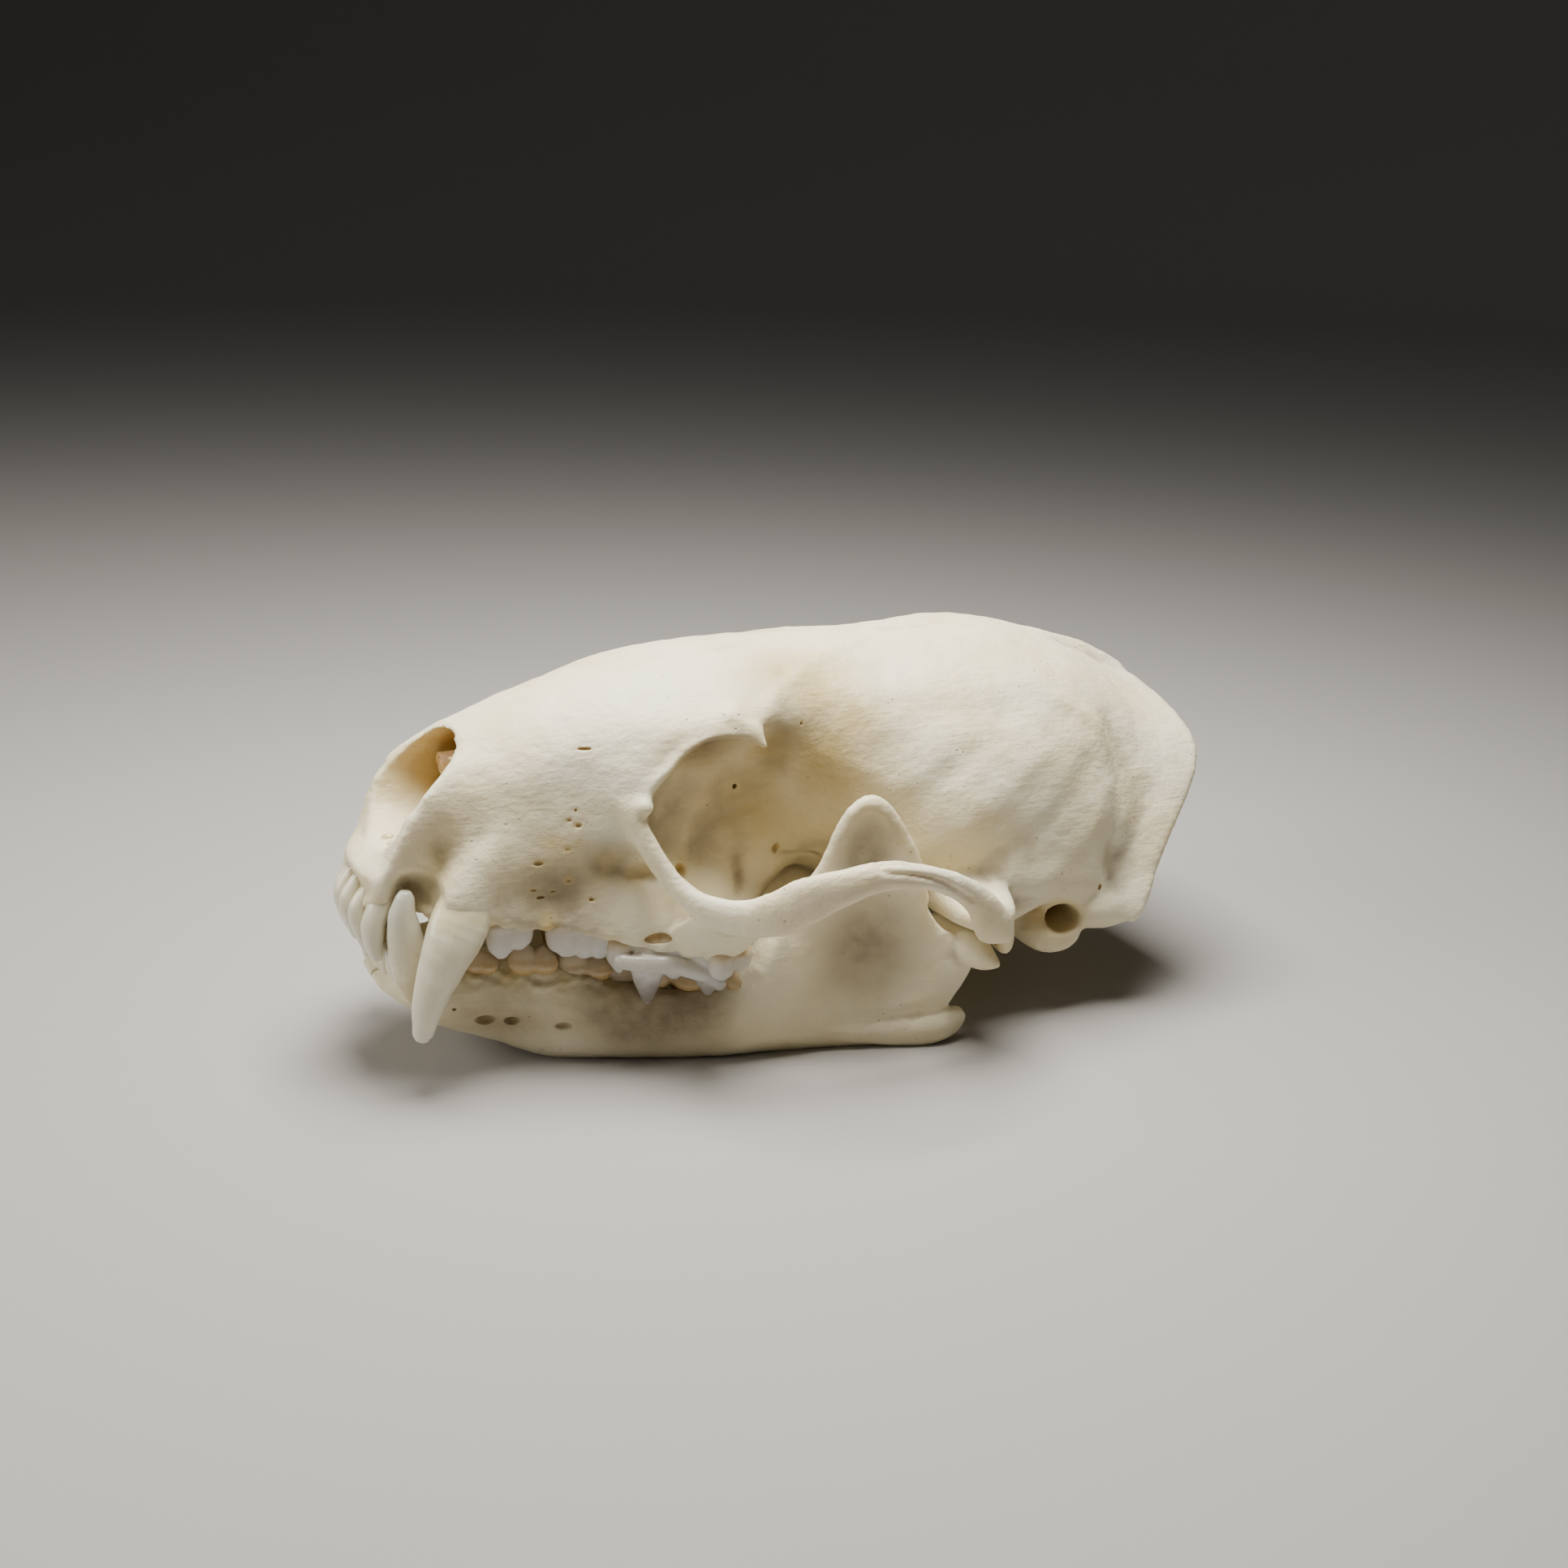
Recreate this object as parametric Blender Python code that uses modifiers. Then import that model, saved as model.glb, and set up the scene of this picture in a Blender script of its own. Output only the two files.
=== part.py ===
"""Skunk skull with its jaw shut, life size, as one still model.

The cranium and the two halves of the jaw are separate bones. The cranium is modelled whole and parted by
thin cuts into snout, braincase and cheek arches. Sizes are in millimetres, measured on the skull as it
stands on a table: x runs back from the front teeth, y to the animal's right, z up from the table. Everything
is shaped on the right and mirrored. The built model is in metres, centred over its own footprint, with the
snout towards -X.
"""

import math
from collections import namedtuple

import bmesh
import bpy
import numpy as np

MM = 0.001
FRONT = -0.5
REAR = 68.95
GAP = 0.3

RING_POINTS = 64
OUTLINE_STEPS = 6
END_SHRINK = 0.6
STATION_STEPS = 6
TUBE_SIDES = 16
BONE_VOXEL = 0.42
BONE_SMOOTHING = 4

CRANIUM_TRIANGLES = 7350
JAW_TRIANGLES = 1700

BONE_COLOUR = (0.86, 0.83, 0.74, 1.0)
BONE_ROUGHNESS = 0.55

# A cross-section of the cranium: its place along the skull, its height at the midline above and below, the
# share of the nose's slope that it takes, and (half-width, height) pairs from the crown round to the palate.
Section = namedtuple("Section", "x roof keel slope side")
NOSTRILS = Section(8.3, 25.5, 13.4, 1.0, (
    (2.0, 25.3), (3.8, 24.5), (5.0, 22.9), (5.4, 20.6), (5.1, 18.4), (4.6, 16.2), (4.1, 14.2), (2.2, 13.5)))
CANINES = Section(10.5, 26.2, 13.2, 0.35, (
    (2.4, 25.9), (4.5, 24.7), (5.7, 22.9), (6.4, 20.4), (7.0, 17.6), (7.4, 14.9), (7.2, 12.6), (4.4, 12.7)))
PREMOLARS = Section(15.0, 27.7, 12.6, 0.0, (
    (3.1, 27.2), (5.5, 25.9), (7.0, 23.8), (7.9, 20.9), (8.5, 17.6), (9.0, 14.2), (9.2, 11.4), (5.8, 12.0)))
TEAR_DUCTS = Section(20.0, 28.8, 12.2, 0.0, (
    (3.8, 28.3), (7.0, 26.8), (9.1, 24.5), (10.0, 21.4), (9.6, 17.2), (9.9, 13.2), (11.0, 9.9), (6.9, 11.2)))
ORBITS = Section(25.0, 29.5, 11.8, 0.0, (
    (4.3, 29.0), (7.8, 27.5), (10.1, 25.6), (7.4, 21.8), (6.9, 16.8), (9.6, 13.0), (12.3, 9.2), (8.0, 10.4)))
BROW_POINTS = Section(29.0, 29.7, 11.3, 0.0, (
    (4.4, 29.2), (7.8, 27.7), (9.6, 25.7), (7.4, 22.0), (6.8, 17.0), (7.4, 13.0), (8.4, 10.2), (5.8, 9.9)))
WAIST = Section(34.5, 29.7, 12.0, 0.0, (
    (4.3, 29.1), (7.5, 27.3), (9.1, 24.8), (9.6, 21.8), (8.8, 18.0), (7.2, 14.8), (5.2, 12.6), (3.2, 11.8)))
TEMPLES = Section(40.0, 29.6, 10.2, 0.0, (
    (4.6, 28.9), (8.5, 26.9), (11.0, 24.2), (12.6, 20.4), (12.7, 16.6), (11.6, 12.8), (9.0, 10.0),
    (4.0, 9.8)))
JAW_JOINTS = Section(46.0, 29.6, 8.4, 0.0, (
    (4.8, 28.8), (9.1, 26.6), (12.1, 23.4), (14.0, 19.2), (14.5, 15.2), (14.1, 11.4), (10.2, 8.6),
    (5.0, 8.2)))
EARS = Section(52.0, 29.8, 8.4, 0.0, (
    (5.1, 28.9), (9.6, 26.5), (12.7, 22.8), (14.6, 18.2), (15.1, 13.8), (14.8, 10.4), (11.4, 8.5),
    (5.6, 8.2)))
MASTOIDS = Section(58.0, 28.5, 8.0, 0.0, (
    (4.9, 27.6), (9.2, 25.3), (12.4, 21.7), (14.3, 17.2), (15.1, 12.8), (14.8, 9.4), (11.6, 7.4), (6.0, 7.6)))
NAPE = Section(63.0, 26.0, 7.8, 0.0, (
    (4.6, 25.2), (8.6, 23.2), (11.4, 19.8), (13.0, 16.0), (13.4, 12.2), (12.4, 9.0), (9.0, 7.4), (5.0, 7.4)))
OCCIPUT = Section(66.2, 23.2, 8.2, 0.0, (
    (4.2, 22.4), (7.6, 20.6), (9.8, 17.8), (11.0, 14.8), (10.8, 11.8), (9.4, 9.4), (7.0, 8.2), (4.0, 8.0)))
CRANIUM = (NOSTRILS, CANINES, PREMOLARS, TEAR_DUCTS, ORBITS, BROW_POINTS, WAIST,
           TEMPLES, JAW_JOINTS, EARS, MASTOIDS, NAPE, OCCIPUT)
OCCIPUT_CLOSING = ((0.8, 0.6), (0.4, 0.9))

# The slope of the nose's front seen from the side, as (height, how far forward it stands there).
NOSE_SLOPE = ((13.4, 7.9), (14.0, 7.6), (15.6, 6.6), (18.8, 5.6), (22.4, 3.4), (24.0, 1.1), (24.8, 0.0),
              (31.0, 0.0))

# A rod of bone is a list of stops: its centre, its thickness across and its height there.
ARCH = (
    ((18.6, 9.2, 21.0), 1.6, 2.0),
    ((19.6, 10.6, 18.4), 1.3, 1.9),
    ((20.9, 12.0, 15.9), 1.3, 1.9),
    ((22.4, 13.8, 14.4), 1.4, 2.1),
    ((24.4, 15.6, 13.7), 1.7, 2.9),
    ((26.4, 17.4, 14.3), 1.8, 3.4),
    ((28.8, 19.0, 15.9), 1.8, 3.6),
    ((31.0, 20.0, 16.8), 1.7, 2.9),
    ((33.6, 20.5, 17.4), 1.7, 2.2),
    ((36.6, 20.7, 17.0), 1.7, 1.9),
    ((39.8, 20.5, 15.7), 1.7, 2.0),
    ((42.4, 20.1, 13.6), 1.9, 2.5),
    ((43.8, 19.4, 11.6), 2.2, 3.4),
    ((45.5, 18.8, 10.3), 1.8, 2.0),
)
ARCH_FRONT_ROOT = (((23.4, 10.6, 9.4), 2.6, 5.6), ((24.0, 12.8, 11.2), 2.0, 5.4),
                   ((25.2, 15.2, 13.4), 1.6, 4.6))
ARCH_ROOT_RUN = (0.8, 0.55, 0.0)
JOINT_ROOF = (((46.0, 11.0, 12.4), 5.4, 3.4), ((45.6, 15.0, 11.9), 4.8, 2.6),
              ((44.8, 17.8, 11.6), 4.0, 2.4), ((44.0, 19.2, 11.7), 3.0, 2.8))
JOINT_LIP = (((43.0, 10.4, 11.6), 1.8, 2.8), ((43.0, 14.5, 11.3), 1.7, 2.3), ((43.3, 18.0, 11.3), 1.6, 2.0))
JOINT_HEEL = (((47.0, 11.4, 9.6), 1.6, 3.8), ((46.9, 15.0, 9.3), 1.5, 3.6), ((46.2, 18.0, 9.5), 1.5, 3.2))
WING_OF_PALATE = (((28.5, 4.2, 10.6), 1.5, 4.0), ((34.0, 3.4, 10.2), 1.3, 5.0), ((39.0, 3.1, 9.6), 1.3, 4.4),
                  ((43.5, 3.2, 8.7), 1.2, 2.8))
BROW_SPUR = (((27.0, 8.4, 26.4), 3.2, 2.2), ((28.3, 9.8, 25.5), 1.9, 1.3), ((28.9, 10.8, 24.7), 0.9, 0.8))
CANINE_SOCKET = (((6.9, 6.6, 14.0), 5.2, 3.9), ((8.3, 5.9, 16.4), 4.6, 4.0), ((10.2, 5.3, 19.0), 3.2, 3.2),
                 ((12.0, 4.8, 21.0), 1.8, 2.0))
EAR_TUBE = (((53.6, 10.5, 7.8), 6.0, 5.2), ((53.7, 12.8, 7.2), 5.6, 4.8), ((53.8, 14.4, 6.9), 4.6, 3.8))
EAR_LEDGE = (((46.6, 14.5, 8.6), 1.8, 2.2), ((49.2, 13.9, 9.6), 2.0, 2.0), ((52.0, 13.8, 10.4), 2.2, 1.7),
             ((54.2, 13.9, 10.3), 2.2, 1.6), ((56.4, 14.3, 9.3), 2.0, 1.8), ((59.0, 14.4, 8.4), 1.6, 1.8))
EAR_HOLE = (((54.0, 10.8, 8.3), 1.6, 2.3), ((53.9, 18.2, 8.1), 2.6, 4.0))
CROWN_RIDGE = (((43.0, 0.0, 29.5), 1.2, 1.2), ((50.0, 0.0, 29.1), 1.4, 1.4), ((58.0, 0.0, 27.8), 1.6, 1.6),
               ((64.0, 0.0, 25.8), 1.8, 1.8), ((68.0, 0.0, 23.6), 1.8, 1.6))

NECK_CONDYLE = (((66.4, 6.1, 13.0), 2.4, 2.6), ((66.6, 5.5, 10.4), 3.2, 3.6), ((65.0, 3.4, 8.0), 2.6, 3.2),
                ((63.2, 1.9, 7.8), 1.8, 2.2))

# Round swellings of bone: (centre, radii).
TEAR_KNOB = ((19.6, 10.2, 21.1), (0.75, 0.8, 0.7))
EAR_CAPSULE = ((53.2, 8.4, 9.2), (7.2, 4.8, 3.3))
MASTOID = ((58.4, 13.6, 8.6), (4.0, 2.4, 2.2))
NECK_SPUR = ((62.6, 10.8, 7.4), (1.8, 1.6, 2.2))

# The crest behind the ears, from the midline down to the mastoid: its free edge, and where it grows out of
# the skull.
CREST_EDGE = ((68.9, 0.0, 23.1), (68.9, 4.0, 22.6), (68.9, 8.0, 21.4), (68.5, 11.3, 19.2), (66.4, 13.2, 16.5),
              (64.1, 14.4, 14.0), (62.3, 15.4, 11.3), (61.0, 16.1, 8.9), (60.0, 16.0, 7.4))
CREST_ROOT = ((61.5, 0.0, 25.4), (61.2, 3.4, 24.6), (60.8, 6.8, 22.8), (60.6, 9.4, 20.2), (60.0, 11.2, 17.2),
              (58.6, 12.4, 14.4), (57.2, 13.2, 11.4), (56.4, 13.4, 9.6), (56.0, 13.2, 8.6))
CREST_EDGE_THICKNESS = 0.9
CREST_ROOT_THICKNESS = 3.4

NASAL_CAVITY = (((-2.0, 0.0, 20.8), 8.6, 7.8), ((6.0, 0.0, 21.1), 8.9, 7.7), ((12.0, 0.0, 21.2), 9.4, 7.8),
                ((18.5, 0.0, 20.3), 6.0, 5.0))
NECK_CANAL = (((73.0, 0.0, 12.8), 9.4, 7.4), ((66.0, 0.0, 12.8), 8.6, 6.6), ((60.0, 0.0, 13.0), 6.4, 5.2))
CANINE_HOLLOW = ((3.5, 7.0, 14.8), (1.9, 2.9, 2.6))
EYE_SOCKET = ((25.0, 12.3, 19.8), (6.3, 5.6, 6.3))
CANINE_ROOM = 0.8

# Rails along the lower jaw: (x, value) stops of its upper and lower edges and of its inner and outer faces.
JAW_TOP = ((1.6, 7.0), (4.0, 8.3), (8.0, 8.7), (13.0, 8.2), (16.0, 7.3), (18.0, 6.4), (23.0, 5.4),
           (25.6, 5.6), (27.2, 7.4), (28.4, 10.0), (30.0, 12.6), (32.0, 15.4), (33.5, 19.2), (35.4, 21.2),
           (37.3, 19.9), (39.2, 16.6), (40.4, 12.6), (42.0, 9.9), (44.6, 8.7))
JAW_BOTTOM = ((1.6, 6.5), (2.6, 5.5), (4.0, 4.4), (6.0, 2.8), (9.0, 1.4), (12.0, 0.3), (15.0, -0.3),
              (23.0, -0.4), (34.0, -0.4), (39.0, -0.3), (41.4, 0.2), (42.8, 2.4), (43.8, 4.2), (44.6, 6.2))
JAW_INNER = ((1.6, -0.6), (9.0, -0.6), (11.0, 0.9), (13.0, 2.8), (17.0, 4.9), (23.5, 7.6), (28.0, 9.4),
             (33.4, 11.8), (38.0, 13.4), (44.6, 14.8))
JAW_OUTER = ((1.6, 2.4), (3.0, 4.0), (5.0, 5.3), (8.0, 6.0), (12.0, 7.1), (17.0, 9.2), (23.5, 11.6),
             (28.0, 13.0), (33.4, 14.0), (38.0, 15.3), (44.6, 16.4))
JAW_STATIONS = 64
JAW_TURNS = 24
RAIL_STEPS = 12
# The plate leans outwards by this share of its height above the second number.
JAW_SPLAY = 0.1
JAW_SPLAY_FROM = 6.0
JAW_CONDYLE = (((43.4, 11.8, 8.5), 2.0, 1.8), ((43.9, 13.5, 8.5), 2.5, 2.5), ((44.2, 16.5, 8.2), 2.5, 2.9),
               ((44.5, 17.9, 7.9), 1.9, 2.0), ((44.8, 19.0, 7.8), 0.9, 0.8))
JAW_HEEL = (((25.5, 10.9, 2.6), 1.0, 1.6), ((28.5, 11.8, 2.2), 1.4, 2.0), ((32.0, 12.6, 1.8), 1.5, 2.2),
            ((36.5, 13.9, 1.2), 1.7, 2.4), ((41.2, 15.0, 1.2), 1.8, 2.8), ((43.2, 15.3, 1.6), 1.6, 2.6),
            ((44.1, 15.4, 2.1), 1.1, 1.8))
CHEWING_HOLLOW = ((36.4, 16.2, 8.2), (3.8, 2.5, 5.6), (0.0, -1.7, 0.0))

# Front teeth are short tapered rods, from the root in the bone to the tip: (centre, width, depth).
UPPER_CANINE = (((8.8, 5.3, 16.4), 2.4, 3.0), ((6.5, 7.3, 12.9), 3.2, 4.3), ((4.7, 7.9, 9.6), 2.7, 3.2),
                ((3.8, 7.8, 6.9), 2.1, 2.3), ((3.45, 7.6, 4.9), 1.3, 1.5))
LOWER_CANINE = (((5.6, 4.0, 5.6), 2.6, 3.4), ((3.8, 4.5, 8.8), 2.6, 3.3), ((3.2, 4.9, 11.2), 2.2, 2.7),
                ((3.0, 5.1, 13.3), 1.8, 2.1), ((3.2, 5.2, 14.8), 1.2, 1.4))
UPPER_INCISORS = (
    (((3.8, 0.80, 17.0), 1.0, 1.2), ((1.9, 0.85, 15.7), 1.2, 1.3), ((0.3, 0.85, 13.6), 1.5, 1.6),
     ((0.3, 0.85, 12.0), 1.5, 1.3), ((0.5, 0.85, 10.6), 1.3, 0.7)),
    (((4.0, 2.10, 16.8), 1.0, 1.2), ((2.2, 2.25, 15.4), 1.2, 1.3), ((0.6, 2.35, 13.3), 1.5, 1.6),
     ((0.6, 2.35, 11.7), 1.5, 1.3), ((0.8, 2.30, 10.3), 1.3, 0.7)),
    (((4.4, 3.30, 16.4), 1.2, 1.5), ((2.6, 3.60, 14.9), 1.5, 1.7), ((1.3, 3.80, 12.9), 1.8, 1.8),
     ((1.1, 3.80, 11.2), 1.7, 1.5), ((1.3, 3.65, 9.9), 1.2, 0.9)),
)
LOWER_INCISORS = (
    (((3.8, 0.65, 5.6), 0.7, 1.2), ((2.4, 0.65, 8.0), 0.9, 1.2), ((2.0, 0.65, 9.8), 0.9, 0.7)),
    (((4.0, 1.65, 5.6), 0.8, 1.2), ((2.6, 1.65, 8.0), 1.0, 1.3), ((2.2, 1.65, 9.8), 1.0, 0.7)),
    (((4.4, 2.70, 5.6), 0.9, 1.3), ((2.9, 2.75, 8.0), 1.1, 1.3), ((2.5, 2.75, 9.6), 1.1, 0.7)),
)
CANINE_SIDES = 9
INCISOR_SIDES = 8

# A cheek tooth: the middle of its neck, its turn, and its cusps as (along, across, height, length, width).
CheekTooth = namedtuple("CheekTooth", "neck turn cusps")
UPPER_CHEEK_TEETH = (
    CheekTooth((10.1, 7.3, 12.7), 14, (
        (-0.7, 0.0, 2.9, 2.2, 1.5), (0.3, 0.0, 2.4, 2.4, 1.5), (1.2, 0.0, 2.0, 1.8, 1.3))),
    CheekTooth((15.2, 8.5, 12.2), 16, (
        (-1.5, 0.0, 2.6, 2.8, 1.8), (0.1, 0.0, 2.6, 3.2, 1.8), (1.6, 0.0, 3.0, 2.4, 1.7))),
    CheekTooth((20.9, 10.2, 10.6), 17, (
        (-3.1, 0.0, 2.6, 2.2, 1.7), (-1.0, 0.1, 5.2, 2.7, 1.6), (1.0, 0.2, 3.2, 3.8, 1.5),
        (3.5, 0.6, 4.5, 3.0, 1.5), (-2.8, -1.6, 1.7, 2.4, 2.4))),
    CheekTooth((25.4, 11.1, 9.7), 17, (
        (-0.3, 1.2, 2.3, 2.6, 2.7), (1.1, 0.9, 1.7, 2.3, 2.6), (0.3, -1.4, 2.0, 2.9, 3.6))),
)
LOWER_CHEEK_TEETH = (
    CheekTooth((8.6, 4.6, 8.0), 24, ((-0.3, 0.0, 1.7, 2.2, 1.4), (0.6, 0.0, 1.2, 1.8, 1.3))),
    CheekTooth((12.3, 5.8, 7.8), 22, ((-0.6, 0.0, 2.2, 2.4, 1.5), (0.9, 0.0, 1.7, 2.2, 1.4))),
    CheekTooth((16.1, 6.6, 7.0), 20, ((-0.8, 0.0, 2.6, 2.6, 1.6), (1.0, 0.0, 1.5, 2.4, 1.5))),
    CheekTooth((21.4, 7.4, 5.6), 18, (
        (-2.7, 0.0, 3.0, 3.0, 1.9), (-0.2, 0.2, 4.0, 3.2, 2.0), (0.2, -0.9, 2.8, 2.0, 1.8),
        (2.9, 0.0, 1.3, 3.4, 2.8))),
    CheekTooth((27.2, 10.6, 5.9), 18, ((0.0, 0.0, 0.9, 2.6, 2.4),)),
)
CUSP_SHAPE = ((0.0, 0.9), (0.35, 1.0), (0.7, 0.62), (1.0, 0.22))
CUSP_SIDES = 10
CUSP_TRIANGLES = 57
ROOT_DEPTH = 2.4
ROOT_TAPER = 0.5
ROOT_LEAN = 1.8
TOOTH_VOXEL = 0.16
TOOTH_SMOOTHING = 2

# The cuts that part the cranium into its nodes: where each slab is, its size, and its turn about the upright.
WAIST_CUT = ((31.6, 0.0, 19.0), (GAP, 30.0, 30.0), 0.0)
ARCH_FRONT_CUT = ((27.2, 17.9, 14.8), (GAP, 8.0, 9.0), 35.0)
ARCH_REAR_CUT = ((45.0, 17.6, 11.6), (8.0, GAP, 9.0), 0.0)


def smooth_curve(points, steps, closed=False):
    """A Catmull-Rom curve through the points, with that many steps between each two."""
    points = np.asarray(points, float)
    if closed:
        padded = np.vstack([points[-1:], points, points[:2]])
    else:
        padded = np.vstack([2 * points[:1] - points[1:2], points, 2 * points[-1:] - points[-2:-1]])
    found = []
    for a, b, c, d in zip(padded, padded[1:], padded[2:], padded[3:]):
        for t in np.linspace(0.0, 1.0, steps, endpoint=False):
            bend = (2 * a - 5 * b + 4 * c - d) * t**2 + (3 * b - a - 3 * c + d) * t**3
            found.append(b + 0.5 * ((c - a) * t + bend))
    if not closed:
        found.append(points[-1])
    return np.array(found)


def even_ring(outline, count):
    """A closed outline walked in equal steps from its first point."""
    ring = np.vstack([outline, outline[:1]])
    walked = np.concatenate([[0.0], np.cumsum(np.linalg.norm(np.diff(ring, axis=0), axis=1))])
    stops = np.linspace(0.0, walked[-1], count, endpoint=False)
    return np.column_stack([np.interp(stops, walked, ring[:, axis]) for axis in range(ring.shape[1])])


def unit(vector):
    return np.asarray(vector, float) / np.linalg.norm(vector)


def mesh_object(name, points, faces):
    """A closed object from points in millimetres on the table, with its faces turned outwards."""
    points = (np.asarray(points, float) - ((FRONT + REAR) / 2, 0.0, 0.0)) * MM
    mesh = bpy.data.meshes.new(name)
    mesh.from_pydata(points.tolist(), [], faces)
    work = bmesh.new()
    work.from_mesh(mesh)
    bmesh.ops.recalc_face_normals(work, faces=work.faces)
    work.to_mesh(mesh)
    work.free()
    piece = bpy.data.objects.new(name, mesh)
    bpy.context.scene.collection.objects.link(piece)
    return piece


def loft(name, rings):
    """A closed skin over rings of the same number of points, capped at both ends."""
    count = len(rings[0])
    faces = []
    for ring in range(len(rings) - 1):
        start = ring * count
        for point in range(count):
            after = (point + 1) % count
            faces.append((start + point, start + after, start + count + after, start + count + point))
    last = (len(rings) - 1) * count
    faces.append(tuple(range(count)))
    faces.append(tuple(last + point for point in range(count)))
    return mesh_object(name, np.vstack(rings), faces)


def on_side(points, side):
    """Points shaped on the right, on the given side: 1 is right and -1 is left."""
    return np.asarray(points, float) * (1.0, side, 1.0)


def rod(name, stops, side=1, up=(0.0, 0.0, 1.0), sides=TUBE_SIDES, steps=4, tip=0.4):
    """A rod of bone or tooth through the stops, oval across, with blunt round ends."""
    centres = smooth_curve([stop[0] for stop in stops], steps)
    sizes = smooth_curve([stop[1:] for stop in stops], steps)
    runs = np.gradient(centres, axis=0)
    turns = np.arange(sides) * 2 * math.pi / sides
    rings = []
    for centre, (across, high), run in zip(centres, sizes / 2, runs):
        run = unit(run)
        out = unit(np.cross(up, run))
        rise = np.cross(run, out)
        rings.append(centre + np.outer(np.cos(turns), out) * across + np.outer(np.sin(turns), rise) * high)
    if tip:
        for end, run, size in ((0, -unit(runs[0]), min(sizes[0])), (-1, unit(runs[-1]), min(sizes[-1]))):
            ring = centres[end] + (rings[end] - centres[end]) * END_SHRINK + run * size * tip
            rings.insert(0 if end == 0 else len(rings), ring)
    return loft(name, [on_side(ring, side) for ring in rings])


def ball(name, centre, radii, side=1):
    """An egg of bone."""
    work = bmesh.new()
    bmesh.ops.create_uvsphere(work, u_segments=20, v_segments=12, radius=1.0)
    points = [on_side(np.array(vert.co) * radii + centre, side) for vert in work.verts]
    faces = [tuple(vert.index for vert in face.verts) for face in work.faces]
    work.free()
    return mesh_object(name, points, faces)


def box(name, centre, size, turn=0.0):
    """A box turned by degrees about the upright."""
    corners = np.array([(x, y, z) for x in (-0.5, 0.5) for y in (-0.5, 0.5) for z in (-0.5, 0.5)]) * size
    across, along = math.sin(math.radians(turn)), math.cos(math.radians(turn))
    turned = corners @ np.array([(along, across, 0.0), (-across, along, 0.0), (0.0, 0.0, 1.0)])
    faces = [(0, 1, 3, 2), (4, 6, 7, 5), (0, 4, 5, 1), (2, 3, 7, 6), (0, 2, 6, 4), (1, 5, 7, 3)]
    return mesh_object(name, turned + centre, faces)


def discard(pieces):
    for piece in pieces:
        bpy.data.objects.remove(piece, do_unlink=True)


def applied(piece):
    """The piece with its modifiers made part of its mesh."""
    evaluated = piece.evaluated_get(bpy.context.evaluated_depsgraph_get())
    mesh = bpy.data.meshes.new_from_object(evaluated)
    piece.modifiers.clear()
    piece.data = mesh
    return piece


def joined(name, pieces):
    """Several pieces as one loose mesh."""
    work = bmesh.new()
    for piece in pieces:
        work.from_mesh(piece.data)
    mesh = bpy.data.meshes.new(name)
    work.to_mesh(mesh)
    work.free()
    discard(pieces)
    whole = bpy.data.objects.new(name, mesh)
    bpy.context.scene.collection.objects.link(whole)
    return whole


def fused(piece, voxel=BONE_VOXEL, smoothing=BONE_SMOOTHING):
    """Overlapping pieces run together into one skin, like grown bone."""
    remesh = piece.modifiers.new("fuse", "REMESH")
    remesh.mode = "VOXEL"
    remesh.voxel_size = voxel * MM
    soften = piece.modifiers.new("soften", "SMOOTH")
    soften.iterations = smoothing
    return applied(piece)


def combined(piece, tools, operation):
    """The piece cut by the tools, or united with them."""
    group = bpy.data.collections.new("tools")
    for tool in tools:
        group.objects.link(tool)
    boolean = piece.modifiers.new("combine", "BOOLEAN")
    boolean.operation = operation
    boolean.operand_type = "COLLECTION"
    boolean.collection = group
    applied(piece)
    discard(tools)
    bpy.data.collections.remove(group)
    return piece


def thinned(piece, triangles):
    """The same form with fewer triangles."""
    decimate = piece.modifiers.new("thin", "DECIMATE")
    decimate.ratio = min(1.0, triangles / (2 * len(piece.data.polygons)))
    return applied(piece)


def pushed(piece, centre, radii, push, side=1):
    """The surface near a point pushed in or out, fading away round it."""
    centre = (on_side(centre, side) - ((FRONT + REAR) / 2, 0.0, 0.0)) * MM
    push = on_side(push, side) * MM
    count = len(piece.data.vertices)
    points = np.empty(count * 3)
    piece.data.vertices.foreach_get("co", points)
    points = points.reshape(count, 3)
    nearness = np.exp(-np.sum(((points - centre) / (np.asarray(radii) * MM)) ** 2, axis=1))
    points += nearness[:, None] * push
    piece.data.vertices.foreach_set("co", points.ravel())
    piece.data.update()
    return piece


def cranium_skin():
    """The cranium's main form, a loft through its cross-sections."""
    rows = [(s.x, s.roof, s.keel, s.slope, *np.ravel(s.side)) for s in CRANIUM]
    rings = []
    for row in smooth_curve(rows, STATION_STEPS):
        x, roof, keel, slope = row[:4]
        side = row[4:].reshape(-1, 2)
        outline = np.vstack([[(0.0, roof)], side, [(0.0, keel)], (side * (-1, 1))[::-1]])
        ring = even_ring(smooth_curve(outline, OUTLINE_STEPS, closed=True), RING_POINTS)
        ahead = slope * np.interp(ring[:, 1], *zip(*NOSE_SLOPE))
        rings.append(np.column_stack([x - ahead, ring]))
    last = rings[-1]
    for share, further in OCCIPUT_CLOSING:
        rings.append(last.mean(axis=0) + (last - last.mean(axis=0)) * share + (further, 0.0, 0.0))
    return loft("skin", rings)


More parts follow.
